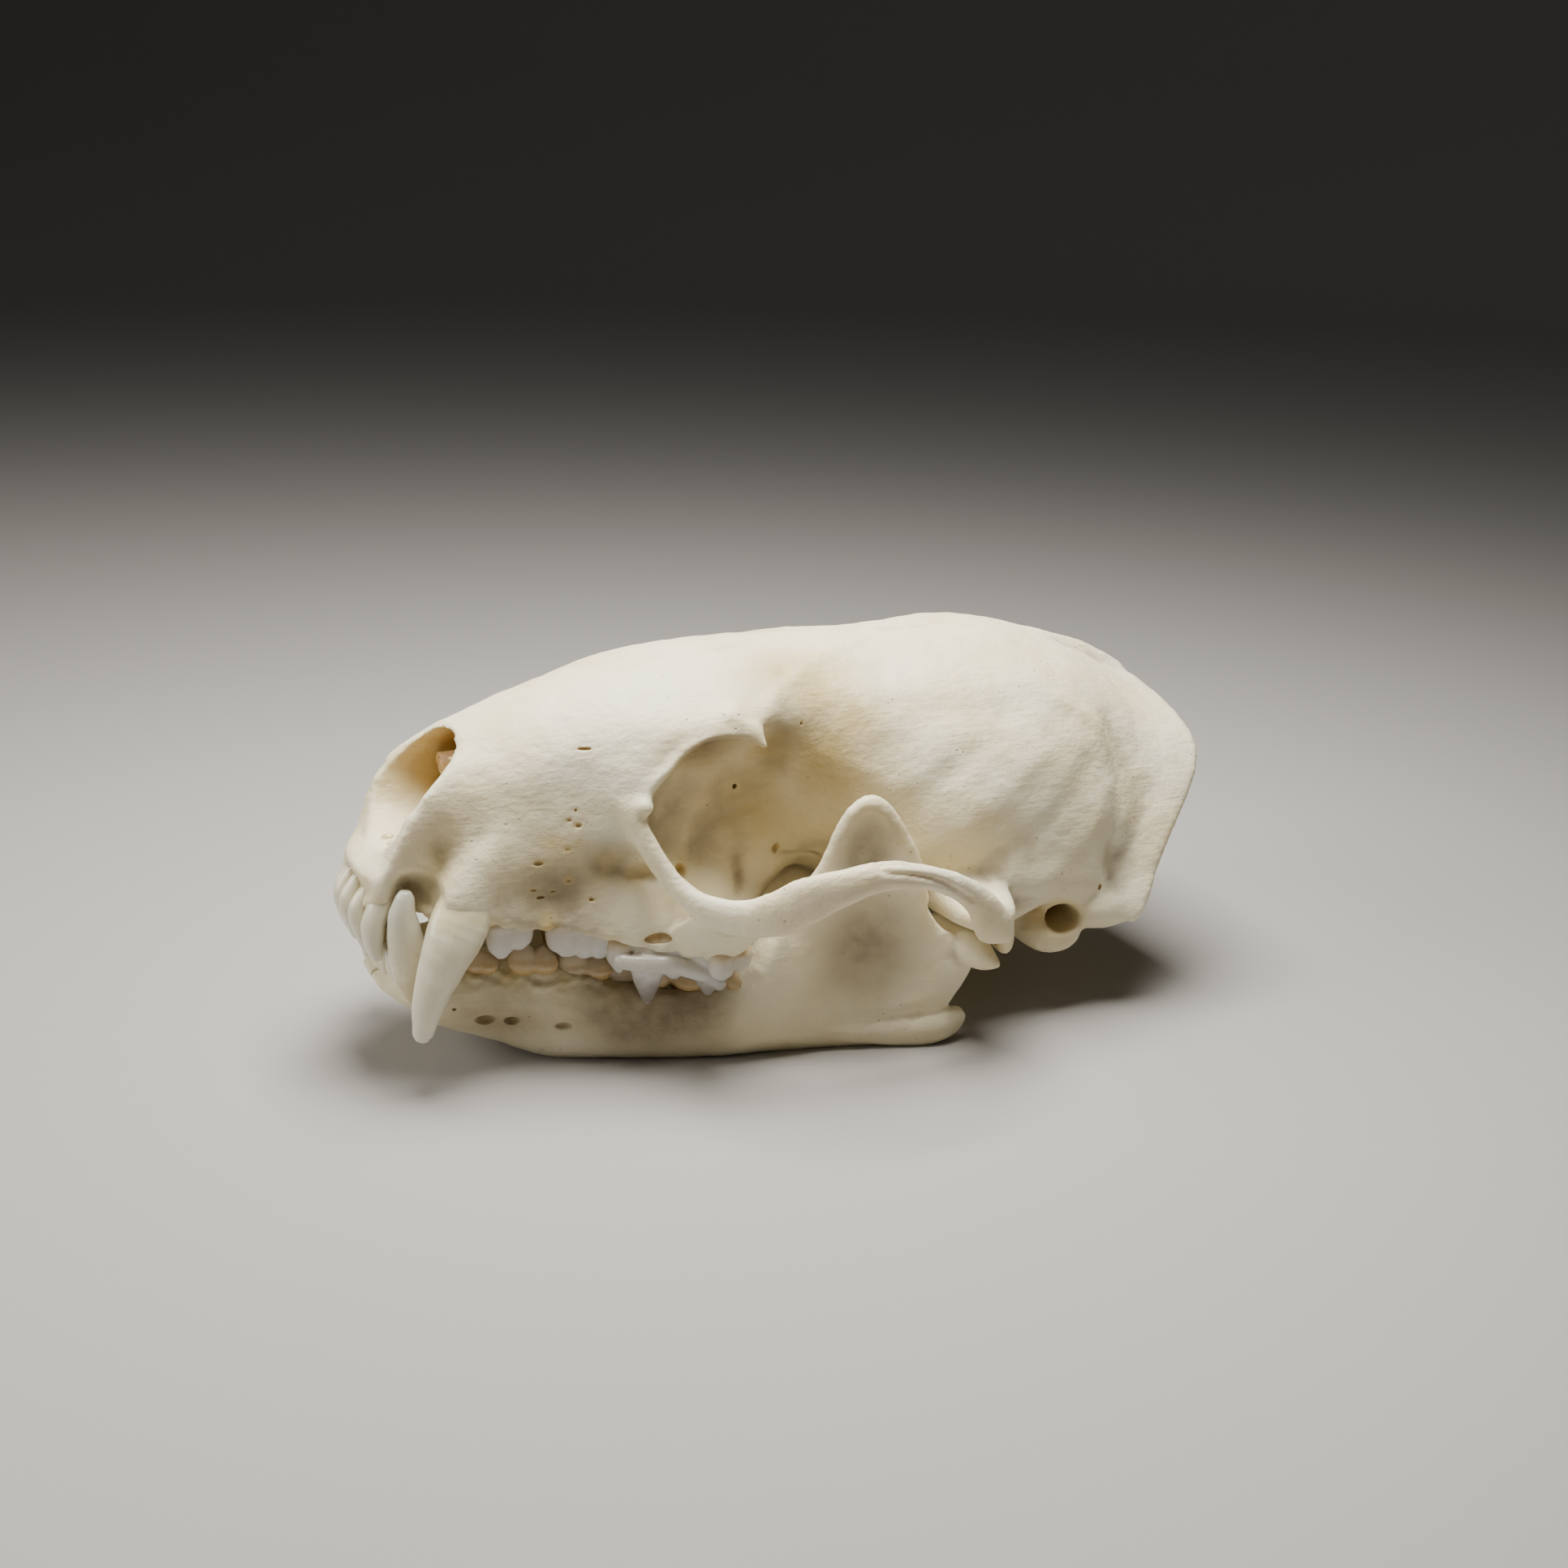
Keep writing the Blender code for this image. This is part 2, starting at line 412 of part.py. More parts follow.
def crest(side):
    """The thin crest that flares out behind the ear."""
    edges = smooth_curve(CREST_EDGE, 3)
    roots = smooth_curve(CREST_ROOT, 3)
    runs = np.gradient(edges, axis=0)
    rings = []
    for edge, root, run in zip(edges, roots, runs):
        face = unit(np.cross(run, root - edge))
        rings.append(np.array([
            root + face * CREST_ROOT_THICKNESS / 2,
            (edge + root) / 2 + face * CREST_EDGE_THICKNESS,
            edge + face * CREST_EDGE_THICKNESS / 2,
            edge - face * CREST_EDGE_THICKNESS / 2,
            (edge + root) / 2 - face * CREST_EDGE_THICKNESS,
            root - face * CREST_ROOT_THICKNESS / 2,
        ]))
    return loft("crest", [on_side(ring, side) for ring in rings])


def cranium_bone():
    """The toothless cranium as one bone."""
    skin = combined(cranium_skin(), [ball("eye_socket", *EYE_SOCKET, side) for side in (1, -1)], "DIFFERENCE")
    pieces = [skin, rod("crown_ridge", CROWN_RIDGE)]
    for side in (1, -1):
        pieces += [
            rod("arch", ARCH, side),
            rod("arch_root", ARCH_FRONT_ROOT, side, up=ARCH_ROOT_RUN),
            rod("joint_roof", JOINT_ROOF, side),
            rod("joint_lip", JOINT_LIP, side),
            rod("joint_heel", JOINT_HEEL, side),
            rod("palate_wing", WING_OF_PALATE, side),
            rod("brow_spur", BROW_SPUR, side),
            rod("canine_socket", CANINE_SOCKET, side, up=(0.0, 1.0, 0.0)),
            rod("ear_tube", EAR_TUBE, side, tip=0.25),
            rod("ear_ledge", EAR_LEDGE, side),
            rod("neck_condyle", NECK_CONDYLE, side, up=(1.0, 0.0, 0.0)),
            ball("tear_knob", *TEAR_KNOB, side),
            ball("ear_capsule", *EAR_CAPSULE, side),
            ball("mastoid", *MASTOID, side),
            ball("neck_spur", *NECK_SPUR, side),
            crest(side),
        ]
    bone = fused(joined("cranium", pieces), smoothing=0)
    combined(bone, [ball("canine_hollow", *CANINE_HOLLOW, side) for side in (1, -1)], "DIFFERENCE")
    fused(bone)
    cutters = [rod("nasal_cavity", NASAL_CAVITY), rod("neck_canal", NECK_CANAL)]
    room = [(centre, across + CANINE_ROOM, high + CANINE_ROOM) for centre, across, high in LOWER_CANINE]
    for side in (1, -1):
        cutters.append(rod("ear_hole", EAR_HOLE, side, up=(1.0, 0.0, 0.0)))
        cutters.append(rod("canine_room", room, side, up=(1.0, 0.0, 0.0)))
    return combined(bone, cutters, "DIFFERENCE")


def jaw_bone():
    """The right half of the lower jaw, without teeth."""
    stations = np.linspace(JAW_TOP[0][0], JAW_TOP[-1][0], JAW_STATIONS)

    def rail(stops):
        curve = smooth_curve(stops, RAIL_STEPS)
        return np.interp(stations, curve[:, 0], curve[:, 1])

    turns = np.arange(JAW_TURNS) * 2 * math.pi / JAW_TURNS
    across, high = np.cos(turns), np.sin(turns)
    rails = [rail(stops) for stops in (JAW_TOP, JAW_BOTTOM, JAW_INNER, JAW_OUTER)]
    rings = []
    for x, top, bottom, inner, outer in zip(stations, *rails):
        z = (top + bottom) / 2 + high * (top - bottom) / 2
        y = (inner + outer) / 2 + across * (outer - inner) / 2 + JAW_SPLAY * (z - JAW_SPLAY_FROM)
        rings.append(np.column_stack([np.full(len(z), x), y, z]))
    pieces = [loft("jaw_plate", rings), rod("jaw_condyle", JAW_CONDYLE), rod("jaw_heel", JAW_HEEL)]
    bone = fused(joined("jaw", pieces))
    return pushed(bone, *CHEWING_HOLLOW)


def cheek_tooth(tooth, facing, side):
    """A cheek tooth facing up or down: its cusps run together over roots that lean inwards in the bone."""
    turn = math.radians(tooth.turn)
    along_jaw = np.array([math.cos(turn), math.sin(turn), 0.0])
    across_jaw = np.array([-math.sin(turn), math.cos(turn), 0.0])
    pieces = []
    for along, across, height, length, width in tooth.cusps:
        base = np.array(tooth.neck) + along * along_jaw + across * across_jaw
        root = base - (0.0, ROOT_LEAN, facing * ROOT_DEPTH)
        stops = [(root, width * ROOT_TAPER, length * ROOT_TAPER)]
        for share, size in CUSP_SHAPE:
            stops.append((base + (0.0, 0.0, facing * share * height), width * size, length * size))
        pieces.append(rod("cusp", stops, side, up=along_jaw, sides=CUSP_SIDES, steps=2))
    whole = fused(joined("cheek_tooth", pieces), TOOTH_VOXEL, TOOTH_SMOOTHING)
    return thinned(whole, CUSP_TRIANGLES * len(tooth.cusps))


def teeth(canine, incisors, cheek_teeth, facing, side):
    """One side's teeth in one jaw."""
    back = (1.0, 0.0, 0.0)
    found = [rod("canine", canine, side, up=back, sides=CANINE_SIDES, steps=2)]
    found += [rod("incisor", stops, side, up=back, sides=INCISOR_SIDES, steps=1) for stops in incisors]
    found += [cheek_tooth(tooth, facing, side) for tooth in cheek_teeth]
    return found


def loose_bodies(piece):
    """The separate closed bodies of a mesh, each as its own object, largest first."""
    work = bmesh.new()
    work.from_mesh(piece.data)
    work.verts.ensure_lookup_table()
    unseen = set(work.verts)
    bodies = []
    while unseen:
        front = [unseen.pop()]
        body = set(front)
        while front:
            for edge in front.pop().link_edges:
                for vert in edge.verts:
                    if vert in unseen:
                        unseen.discard(vert)
                        body.add(vert)
                        front.append(vert)
        bodies.append({vert.index for vert in body})
    bodies.sort(key=len, reverse=True)
    found = []
    for body in bodies:
        copy = work.copy()
        copy.verts.ensure_lookup_table()
        bmesh.ops.delete(copy, geom=[vert for vert in copy.verts if vert.index not in body], context="VERTS")
        mesh = bpy.data.meshes.new(piece.name)
        copy.to_mesh(mesh)
        copy.free()
        part = bpy.data.objects.new(piece.name, mesh)
        bpy.context.scene.collection.objects.link(part)
        found.append(part)
    work.free()
    discard([piece])
    return found


def middle(piece):
    """The centre of a piece's vertices, in millimetres on the table."""
    points = np.array([vert.co for vert in piece.data.vertices]) / MM
    return points.mean(axis=0) + ((FRONT + REAR) / 2, 0.0, 0.0)


def cranium_nodes():
    """The cranium with its teeth, parted by thin cuts into its four nodes."""
    bone = thinned(cranium_bone(), CRANIUM_TRIANGLES)
    upper = [t for side in (1, -1) for t in teeth(UPPER_CANINE, UPPER_INCISORS, UPPER_CHEEK_TEETH, -1, side)]
    combined(bone, upper, "UNION")
    cuts = [box("cut", *WAIST_CUT)]
    for side in (1, -1):
        for centre, size, turn in (ARCH_FRONT_CUT, ARCH_REAR_CUT):
            cuts.append(box("cut", on_side(centre, side), size, turn * side))
    combined(bone, cuts, "DIFFERENCE")
    parts = loose_bodies(bone)
    core = sorted(parts[:4], key=lambda part: abs(middle(part)[1]))
    discard(parts[4:])
    snout, braincase = sorted(core[:2], key=lambda part: middle(part)[0])
    left, right = sorted(core[2:], key=lambda part: middle(part)[1])
    return {"snout": snout, "braincase": braincase, "cheek_arch_left": left, "cheek_arch_right": right}


def jaw_nodes():
    """The two halves of the lower jaw with their teeth."""
    bone = thinned(jaw_bone(), JAW_TRIANGLES)
    combined(bone, teeth(LOWER_CANINE, LOWER_INCISORS, LOWER_CHEEK_TEETH, 1, 1), "UNION")
    below = box("below", (30.0, 0.0, -5.0), (100.0, 60.0, 10.0))
    across = box("across", (30.0, GAP / 2 - 10.0, 10.0), (100.0, 20.0, 60.0))
    combined(bone, [below, across], "DIFFERENCE")
    right, *scraps = loose_bodies(bone)
    discard(scraps)
    left = right.copy()
    left.data = right.data.copy()
    bpy.context.scene.collection.objects.link(left)
    work = bmesh.new()
    work.from_mesh(left.data)
    for vert in work.verts:
        vert.co.y = -vert.co.y
    bmesh.ops.reverse_faces(work, faces=work.faces)
    work.to_mesh(left.data)
    work.free()
    return {"jaw_left": left, "jaw_right": right}


def bone_material(name):
    """Cleaned bone: ivory and a little rough."""
    material = bpy.data.materials.new(name)
    material.use_nodes = True
    shader = material.node_tree.nodes["Principled BSDF"]
    shader.inputs["Base Color"].default_value = BONE_COLOUR
    shader.inputs["Roughness"].default_value = BONE_ROUGHNESS
    shader.inputs["Metallic"].default_value = 0.0
    return material


def build():
    for piece in list(bpy.data.objects):
        bpy.data.objects.remove(piece, do_unlink=True)
    skull = bpy.data.collections.new("skunk_skull")
    bpy.context.scene.collection.children.link(skull)
    for name, node in {**cranium_nodes(), **jaw_nodes()}.items():
        node.name = name
        node.data.name = name
        node.data.materials.clear()
        node.data.materials.append(bone_material(f"{name}_bone"))
        node.data.shade_smooth()
        bpy.context.scene.collection.objects.unlink(node)
        skull.objects.link(node)
        print(name, len(node.data.loop_triangles) or sum(len(f.vertices) - 2 for f in node.data.polygons))


build()
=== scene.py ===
# %% [markdown]
# # A skunk's skull in dry bone and enamel
#
# The skull in the photograph is a cleaned museum bone with its jaw shut. This lesson dresses the solid model of it:
# the cranium and the two halves of the jaw are made again at a finer grain, and the teeth become separate pieces of
# enamel set in them. Sizes are in millimetres on a table: x runs back from the front teeth, y to the animal's right
# and z up. The last step of every piece turns them into metres, centred over the skull's own footprint.

# %% The frame
import math
from collections import namedtuple

import bmesh
import bpy
import numpy as np
from mathutils import Matrix, Vector


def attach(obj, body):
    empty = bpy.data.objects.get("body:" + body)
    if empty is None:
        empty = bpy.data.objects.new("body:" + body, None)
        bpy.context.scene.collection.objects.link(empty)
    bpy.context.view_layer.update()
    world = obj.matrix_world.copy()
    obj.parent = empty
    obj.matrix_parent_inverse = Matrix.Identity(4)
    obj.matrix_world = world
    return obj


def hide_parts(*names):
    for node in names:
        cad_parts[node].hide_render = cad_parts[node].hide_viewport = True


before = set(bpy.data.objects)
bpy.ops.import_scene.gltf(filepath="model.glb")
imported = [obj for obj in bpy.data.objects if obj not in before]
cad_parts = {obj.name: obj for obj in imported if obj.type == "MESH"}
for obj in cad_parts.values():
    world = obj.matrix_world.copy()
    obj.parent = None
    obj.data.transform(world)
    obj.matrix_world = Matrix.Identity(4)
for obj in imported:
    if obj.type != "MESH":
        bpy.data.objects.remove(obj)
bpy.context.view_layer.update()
print("nodes:", sorted(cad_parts))

# %% [markdown]
# ## Curves, rings and skins
#
# Bone has no straight edges. Every form here starts as a few measured stops, and a Catmull-Rom curve runs smoothly
# through them. A row of rings along such a curve makes a closed skin.

# %% Curves and skins
MM = 0.001
# the middle of the skull's length on the table
MIDDLE_X = 34.225
# the last ring at a rod's round end, as a share of the rod there
TIP_RING = 0.6


def metres(points):
    """Points given in millimetres on the table, in metres from the middle of the skull."""
    return (np.asarray(points, float) - (MIDDLE_X, 0.0, 0.0)) * MM


def round_turns(count):
    """That many angles, evenly round a circle."""
    return np.arange(count) * 2 * math.pi / count


def smooth_curve(points, steps, closed=False):
    """A Catmull-Rom curve through the points, with that many steps between each two."""
    points = np.asarray(points, float)
    if closed:
        padded = np.vstack([points[-1:], points, points[:2]])
    else:
        padded = np.vstack([2 * points[:1] - points[1:2], points, 2 * points[-1:] - points[-2:-1]])
    found = []
    for a, b, c, d in zip(padded, padded[1:], padded[2:], padded[3:]):
        for t in np.linspace(0.0, 1.0, steps, endpoint=False):
            bend = (2 * a - 5 * b + 4 * c - d) * t**2 + (3 * b - a - 3 * c + d) * t**3
            found.append(b + 0.5 * ((c - a) * t + bend))
    if not closed:
        found.append(points[-1])
    return np.array(found)


def even_ring(outline, count):
    """A closed outline walked in equal steps from its first point."""
    ring = np.vstack([outline, outline[:1]])
    walked = np.concatenate([[0.0], np.cumsum(np.linalg.norm(np.diff(ring, axis=0), axis=1))])
    stops = np.linspace(0.0, walked[-1], count, endpoint=False)
    return np.column_stack([np.interp(stops, walked, ring[:, axis]) for axis in range(ring.shape[1])])


def unit(vector):
    return np.asarray(vector, float) / np.linalg.norm(vector)


def added(name, data):
    """A new object in the scene, at the origin."""
    piece = bpy.data.objects.new(name, data)
    bpy.context.scene.collection.objects.link(piece)
    return piece


def mesh_object(name, points, faces):
    """A closed object from points in millimetres on the table, with its faces turned outwards."""
    mesh = bpy.data.meshes.new(name)
    mesh.from_pydata(metres(points).tolist(), [], faces)
    work = bmesh.new()
    work.from_mesh(mesh)
    bmesh.ops.recalc_face_normals(work, faces=work.faces)
    work.to_mesh(mesh)
    work.free()
    return added(name, mesh)


def band_faces(rings, count):
    """The faces between closed rings of that many points each, one ring after another."""
    faces = []
    for start in range(0, (rings - 1) * count, count):
        for point in range(count):
            after = (point + 1) % count
            faces.append((start + point, start + after, start + count + after, start + count + point))
    return faces


def loft(name, rings):
    """A closed skin over rings of the same number of points, capped at both ends."""
    count = len(rings[0])
    last = (len(rings) - 1) * count
    caps = [tuple(range(count)), tuple(range(last, last + count))]
    return mesh_object(name, np.vstack(rings), band_faces(len(rings), count) + caps)


def on_side(points, side):
    """Points shaped on the right, on the given side: 1 is right and -1 is left."""
    return np.asarray(points, float) * (1.0, side, 1.0)


def rod(name, stops, side=1, up=(0.0, 0.0, 1.0), sides=24, steps=6, tip=0.4):
    """A rod of bone or tooth through the stops, oval across, with blunt round ends."""
    centres = smooth_curve([stop[0] for stop in stops], steps)
    sizes = smooth_curve([stop[1:] for stop in stops], steps)
    runs = np.gradient(centres, axis=0)
    turns = round_turns(sides)
    rings = []
    for centre, (across, high), run in zip(centres, sizes, runs):
        run = unit(run)
        out = unit(np.cross(up, run))
        rise = np.cross(run, out)
        oval = np.outer(np.cos(turns), out) * across / 2
        rings.append(centre + oval + np.outer(np.sin(turns), rise) * high / 2)
    if tip:
        for end, run, size in ((0, -unit(runs[0]), min(sizes[0])), (-1, unit(runs[-1]), min(sizes[-1]))):
            ring = centres[end] + (rings[end] - centres[end]) * TIP_RING + run * size * tip
            rings.insert(0 if end == 0 else len(rings), ring)
    return loft(name, [on_side(ring, side) for ring in rings])


def ball(name, centre, radii, side=1):
    """An egg of bone."""
    work = bmesh.new()
    bmesh.ops.create_uvsphere(work, u_segments=32, v_segments=20, radius=1.0)
    points = [on_side(np.array(vert.co) * radii + centre, side) for vert in work.verts]
    faces = [tuple(vert.index for vert in face.verts) for face in work.faces]
    work.free()
    return mesh_object(name, points, faces)


# %% [markdown]
# ## Fusing and cutting
#
# A skull grows as many bones that knit into one. Overlapping forms are run together with a voxel remesh, which
# leaves one closed skin, and smoothing rounds the joins. Hollows are cut out with the manifold solver, which is
# quick on such a dense skin. Numbers for the finish are stored on the points.

# %% Fusing and cutting
def discard(pieces):
    for piece in pieces:
        bpy.data.objects.remove(piece, do_unlink=True)


def applied(piece):
    """The piece with its modifiers made part of its mesh."""
    evaluated = piece.evaluated_get(bpy.context.evaluated_depsgraph_get())
    mesh = bpy.data.meshes.new_from_object(evaluated)
    piece.modifiers.clear()
    piece.data = mesh
    return piece


def joined(name, pieces):
    """Several pieces as one loose mesh."""
    work = bmesh.new()
    for piece in pieces:
        work.from_mesh(piece.data)
    mesh = bpy.data.meshes.new(name)
    work.to_mesh(mesh)
    work.free()
    discard(pieces)
    return added(name, mesh)


def fused(piece, voxel, smoothing):
    """Overlapping pieces run together into one skin, like grown bone."""
    remesh = piece.modifiers.new("fuse", "REMESH")
    remesh.mode = "VOXEL"
    remesh.voxel_size = voxel * MM
    soften = piece.modifiers.new("soften", "SMOOTH")
    soften.iterations = smoothing
    return applied(piece)


def cut(piece, tools):
    """The piece with the tools taken out of it."""
    for tool in tools:
        boolean = piece.modifiers.new("cut", "BOOLEAN")
        boolean.operation = "DIFFERENCE"
        boolean.solver = "MANIFOLD"
        boolean.object = tool
    applied(piece)
    discard(tools)
    return piece


def triangles(piece):
    return sum(len(face.vertices) - 2 for face in piece.data.polygons)


def table_points(piece):
    """The piece's points as an array, in millimetres on the table."""
    points = np.empty(len(piece.data.vertices) * 3)
    piece.data.vertices.foreach_get("co", points)
    return points.reshape(-1, 3) / MM + (MIDDLE_X, 0.0, 0.0)


def move_points(piece, points):
    """The piece with its points where the array says, in millimetres on the table."""
    piece.data.vertices.foreach_set("co", metres(points).ravel())
    piece.data.update()


def table_normals(piece):
    normals = np.empty(len(piece.data.vertices) * 3)
    piece.data.vertices.foreach_get("normal", normals)
    return normals.reshape(-1, 3)


def store(piece, label, values):
    """One number for each point of the piece, which its finish reads."""
    piece.data.attributes.new(label, "FLOAT", "POINT").data.foreach_set("value", values.astype(np.float32))


# %% [markdown]
# ## The cranium's main form
#
# The cranium is one bone. Its main form is a loft through cross-sections from the nostrils to the back of the head.
# Each section gives the height at the midline above and below, then half-widths from the crown round to the palate.
# The front of the nose slopes, so the first sections lean forward by a share of that slope.

# %% The cranium's main form
Section = namedtuple("Section", "x roof keel slope side")
CRANIUM = (
    Section(8.3, 25.5, 13.4, 1.0, (
        (2.0, 25.3), (3.8, 24.5), (5.0, 22.9), (5.4, 20.6), (5.1, 18.4), (4.6, 16.2), (4.1, 14.2), (2.2, 13.5))),
    Section(10.5, 26.2, 13.2, 0.35, (
        (2.4, 25.9), (4.5, 24.7), (5.7, 22.9), (6.4, 20.4), (7.0, 17.6), (7.4, 14.9), (7.2, 12.6), (4.4, 12.7))),
    Section(15.0, 27.7, 12.6, 0.0, (
        (3.1, 27.2), (5.5, 25.9), (7.0, 23.8), (7.9, 20.9), (8.5, 17.6), (9.0, 14.2), (9.2, 11.4), (5.8, 12.0))),
    Section(20.0, 28.8, 12.2, 0.0, (
        (3.8, 28.3), (7.0, 26.8), (9.1, 24.5), (10.0, 21.4), (9.6, 17.2), (9.9, 13.2), (11.0, 9.9), (6.9, 11.2))),
    Section(25.0, 29.5, 11.8, 0.0, (
        (4.3, 29.0), (7.8, 27.5), (10.1, 25.6), (7.4, 21.8), (6.9, 16.8), (9.6, 13.0), (12.3, 9.2), (8.0, 10.4))),
    Section(29.0, 29.7, 11.3, 0.0, (
        (4.4, 29.2), (7.8, 27.7), (9.6, 25.7), (7.4, 22.0), (6.8, 17.0), (7.4, 13.0), (8.4, 10.2), (5.8, 9.9))),
    Section(34.5, 29.7, 12.0, 0.0, (
        (4.3, 29.1), (7.5, 27.3), (9.1, 24.8), (9.6, 21.8), (8.8, 18.0), (7.2, 14.8), (5.2, 12.6), (3.2, 11.8))),
    Section(40.0, 29.6, 10.2, 0.0, (
        (4.6, 28.9), (8.5, 26.9), (11.0, 24.2), (12.6, 20.4), (12.7, 16.6), (11.6, 12.8), (9.0, 10.0), (4.0, 9.8))),
    Section(46.0, 29.6, 8.4, 0.0, (
        (4.8, 28.8), (9.1, 26.6), (12.1, 23.4), (14.0, 19.2), (14.5, 15.2), (14.1, 11.4), (10.2, 8.6), (5.0, 8.2))),
    Section(52.0, 29.8, 8.4, 0.0, (
        (5.1, 28.9), (9.6, 26.5), (12.7, 22.8), (14.6, 18.2), (15.1, 13.8), (14.8, 10.4), (11.4, 8.5), (5.6, 8.2))),
    Section(58.0, 28.5, 8.0, 0.0, (
        (4.9, 27.6), (9.2, 25.3), (12.4, 21.7), (14.3, 17.2), (15.1, 12.8), (14.8, 9.4), (11.6, 7.4), (6.0, 7.6))),
    Section(63.0, 26.0, 7.8, 0.0, (
        (4.6, 25.2), (8.6, 23.2), (11.4, 19.8), (13.0, 16.0), (13.4, 12.2), (12.4, 9.0), (9.0, 7.4), (5.0, 7.4))),
    Section(66.2, 23.2, 8.2, 0.0, (
        (4.2, 22.4), (7.6, 20.6), (9.8, 17.8), (11.0, 14.8), (10.8, 11.8), (9.4, 9.4), (7.0, 8.2), (4.0, 8.0))),
)
NOSE_SLOPE = (
    (13.4, 7.9), (14.0, 7.6), (15.6, 6.6), (18.8, 5.6), (22.4, 3.4), (24.0, 1.1), (24.8, 0.0), (31.0, 0.0))

SECTION_STEPS = 12
SECTION_POINTS = 128
# (share of the last section's size, how far behind it): the rounded back of the head
BACK_RINGS = ((0.8, 0.6), (0.4, 0.9))


def cranium_skin():
    """The cranium's main form, before anything is added to it or cut from it."""
    rows = [(s.x, s.roof, s.keel, s.slope, *np.ravel(s.side)) for s in CRANIUM]
    rings = []
    for row in smooth_curve(rows, SECTION_STEPS):
        x, roof, keel, slope = row[:4]
        side = row[4:].reshape(-1, 2)
        outline = np.vstack([[(0.0, roof)], side, [(0.0, keel)], (side * (-1, 1))[::-1]])
        ring = even_ring(smooth_curve(outline, SECTION_STEPS, closed=True), SECTION_POINTS)
        ahead = slope * np.interp(ring[:, 1], *zip(*NOSE_SLOPE))
        rings.append(np.column_stack([x - ahead, ring]))
    last = rings[-1]
    for share, further in BACK_RINGS:
        rings.append(last.mean(axis=0) + (last - last.mean(axis=0)) * share + (further, 0.0, 0.0))
    return loft("skin", rings)


print("the cranium has", len(CRANIUM), "sections, from", CRANIUM[0].x, "to", CRANIUM[-1].x, "mm")


# %% [markdown]
# ## Arches, joints and crests
#
# The cheek arch, the roof of the jaw joint, the ear tube and the ridges are rods of bone whose thickness changes
# along them. Each stop is a centre with the thickness across and the height there. The crest behind the ears is a
# thin blade, thick where it grows out of the skull.

# %% Arches, joints and crests
ARCH = (
    ((18.6, 9.2, 21.0), 1.6, 2.0),
    ((19.6, 10.6, 18.4), 1.3, 1.9),
    ((20.9, 12.0, 15.9), 1.3, 1.9),
    ((22.4, 13.8, 14.4), 1.4, 2.1),
    ((24.4, 15.6, 13.7), 1.7, 2.9),
    ((26.4, 17.4, 14.3), 1.8, 3.4),
    ((28.8, 19.0, 15.9), 1.8, 3.6),
    ((31.0, 20.0, 16.8), 1.7, 2.9),
    ((33.6, 20.5, 17.4), 1.7, 2.2),
    ((36.6, 20.7, 17.0), 1.7, 1.9),
    ((39.8, 20.5, 15.7), 1.7, 2.0),
    ((42.4, 20.1, 13.6), 1.9, 2.5),
    ((43.8, 19.4, 11.6), 2.2, 3.4),
    ((45.5, 18.8, 10.3), 1.8, 2.0),
)
ARCH_FRONT_ROOT = (((23.4, 10.6, 9.4), 2.6, 5.6), ((24.0, 12.8, 11.2), 2.0, 5.4), ((25.2, 15.2, 13.4), 1.6, 4.6))
JOINT_ROOF = (((46.0, 11.0, 12.4), 5.4, 3.4), ((45.6, 15.0, 11.9), 4.8, 2.6), ((44.8, 17.8, 11.6), 4.0, 2.4),
              ((44.0, 19.2, 11.7), 3.0, 2.8))
JOINT_LIP = (((43.0, 10.4, 11.6), 1.8, 2.8), ((43.0, 14.5, 11.3), 1.7, 2.3), ((43.3, 18.0, 11.3), 1.6, 2.0))
JOINT_HEEL = (((47.0, 11.4, 9.6), 1.6, 3.8), ((46.9, 15.0, 9.3), 1.5, 3.6), ((46.2, 18.0, 9.5), 1.5, 3.2))
WING_OF_PALATE = (((28.5, 4.2, 10.6), 1.5, 4.0), ((34.0, 3.4, 10.2), 1.3, 5.0), ((39.0, 3.1, 9.6), 1.3, 4.4),
                  ((43.5, 3.2, 8.7), 1.2, 2.8))
BROW_SPUR = (((27.0, 8.4, 26.4), 3.2, 2.2), ((28.3, 9.8, 25.5), 1.9, 1.3), ((28.9, 10.8, 24.7), 0.9, 0.8))
BROW_RIM = (((19.5, 9.9, 21.2), 0.8, 0.8), ((21.3, 10.1, 23.4), 0.7, 0.7), ((23.8, 10.2, 25.2), 0.7, 0.7),
            ((26.3, 10.2, 25.5), 0.8, 0.7), ((28.7, 10.3, 24.9), 0.9, 0.8))
CANINE_SOCKET = (((6.9, 6.6, 14.0), 5.2, 3.9), ((8.3, 5.9, 16.4), 4.6, 4.0), ((10.2, 5.3, 19.0), 3.2, 3.2),
                 ((12.0, 4.8, 21.0), 1.8, 2.0))
EAR_TUBE = (((53.6, 10.5, 7.8), 6.0, 5.2), ((53.7, 12.8, 7.2), 5.6, 4.8), ((53.8, 14.4, 6.9), 4.6, 3.8))
EAR_LEDGE = (((46.6, 14.5, 8.6), 1.8, 2.2), ((49.2, 13.9, 9.6), 2.0, 2.0), ((52.0, 13.8, 10.4), 2.2, 1.7),
             ((54.2, 13.9, 10.3), 2.2, 1.6), ((56.4, 14.3, 9.3), 2.0, 1.8), ((59.0, 14.4, 8.4), 1.6, 1.8))
CROWN_RIDGE = (((43.0, 0.0, 29.5), 1.2, 1.2), ((50.0, 0.0, 29.1), 1.4, 1.4), ((58.0, 0.0, 27.8), 1.6, 1.6),
               ((64.0, 0.0, 25.8), 1.8, 1.8), ((68.0, 0.0, 23.6), 1.8, 1.6))
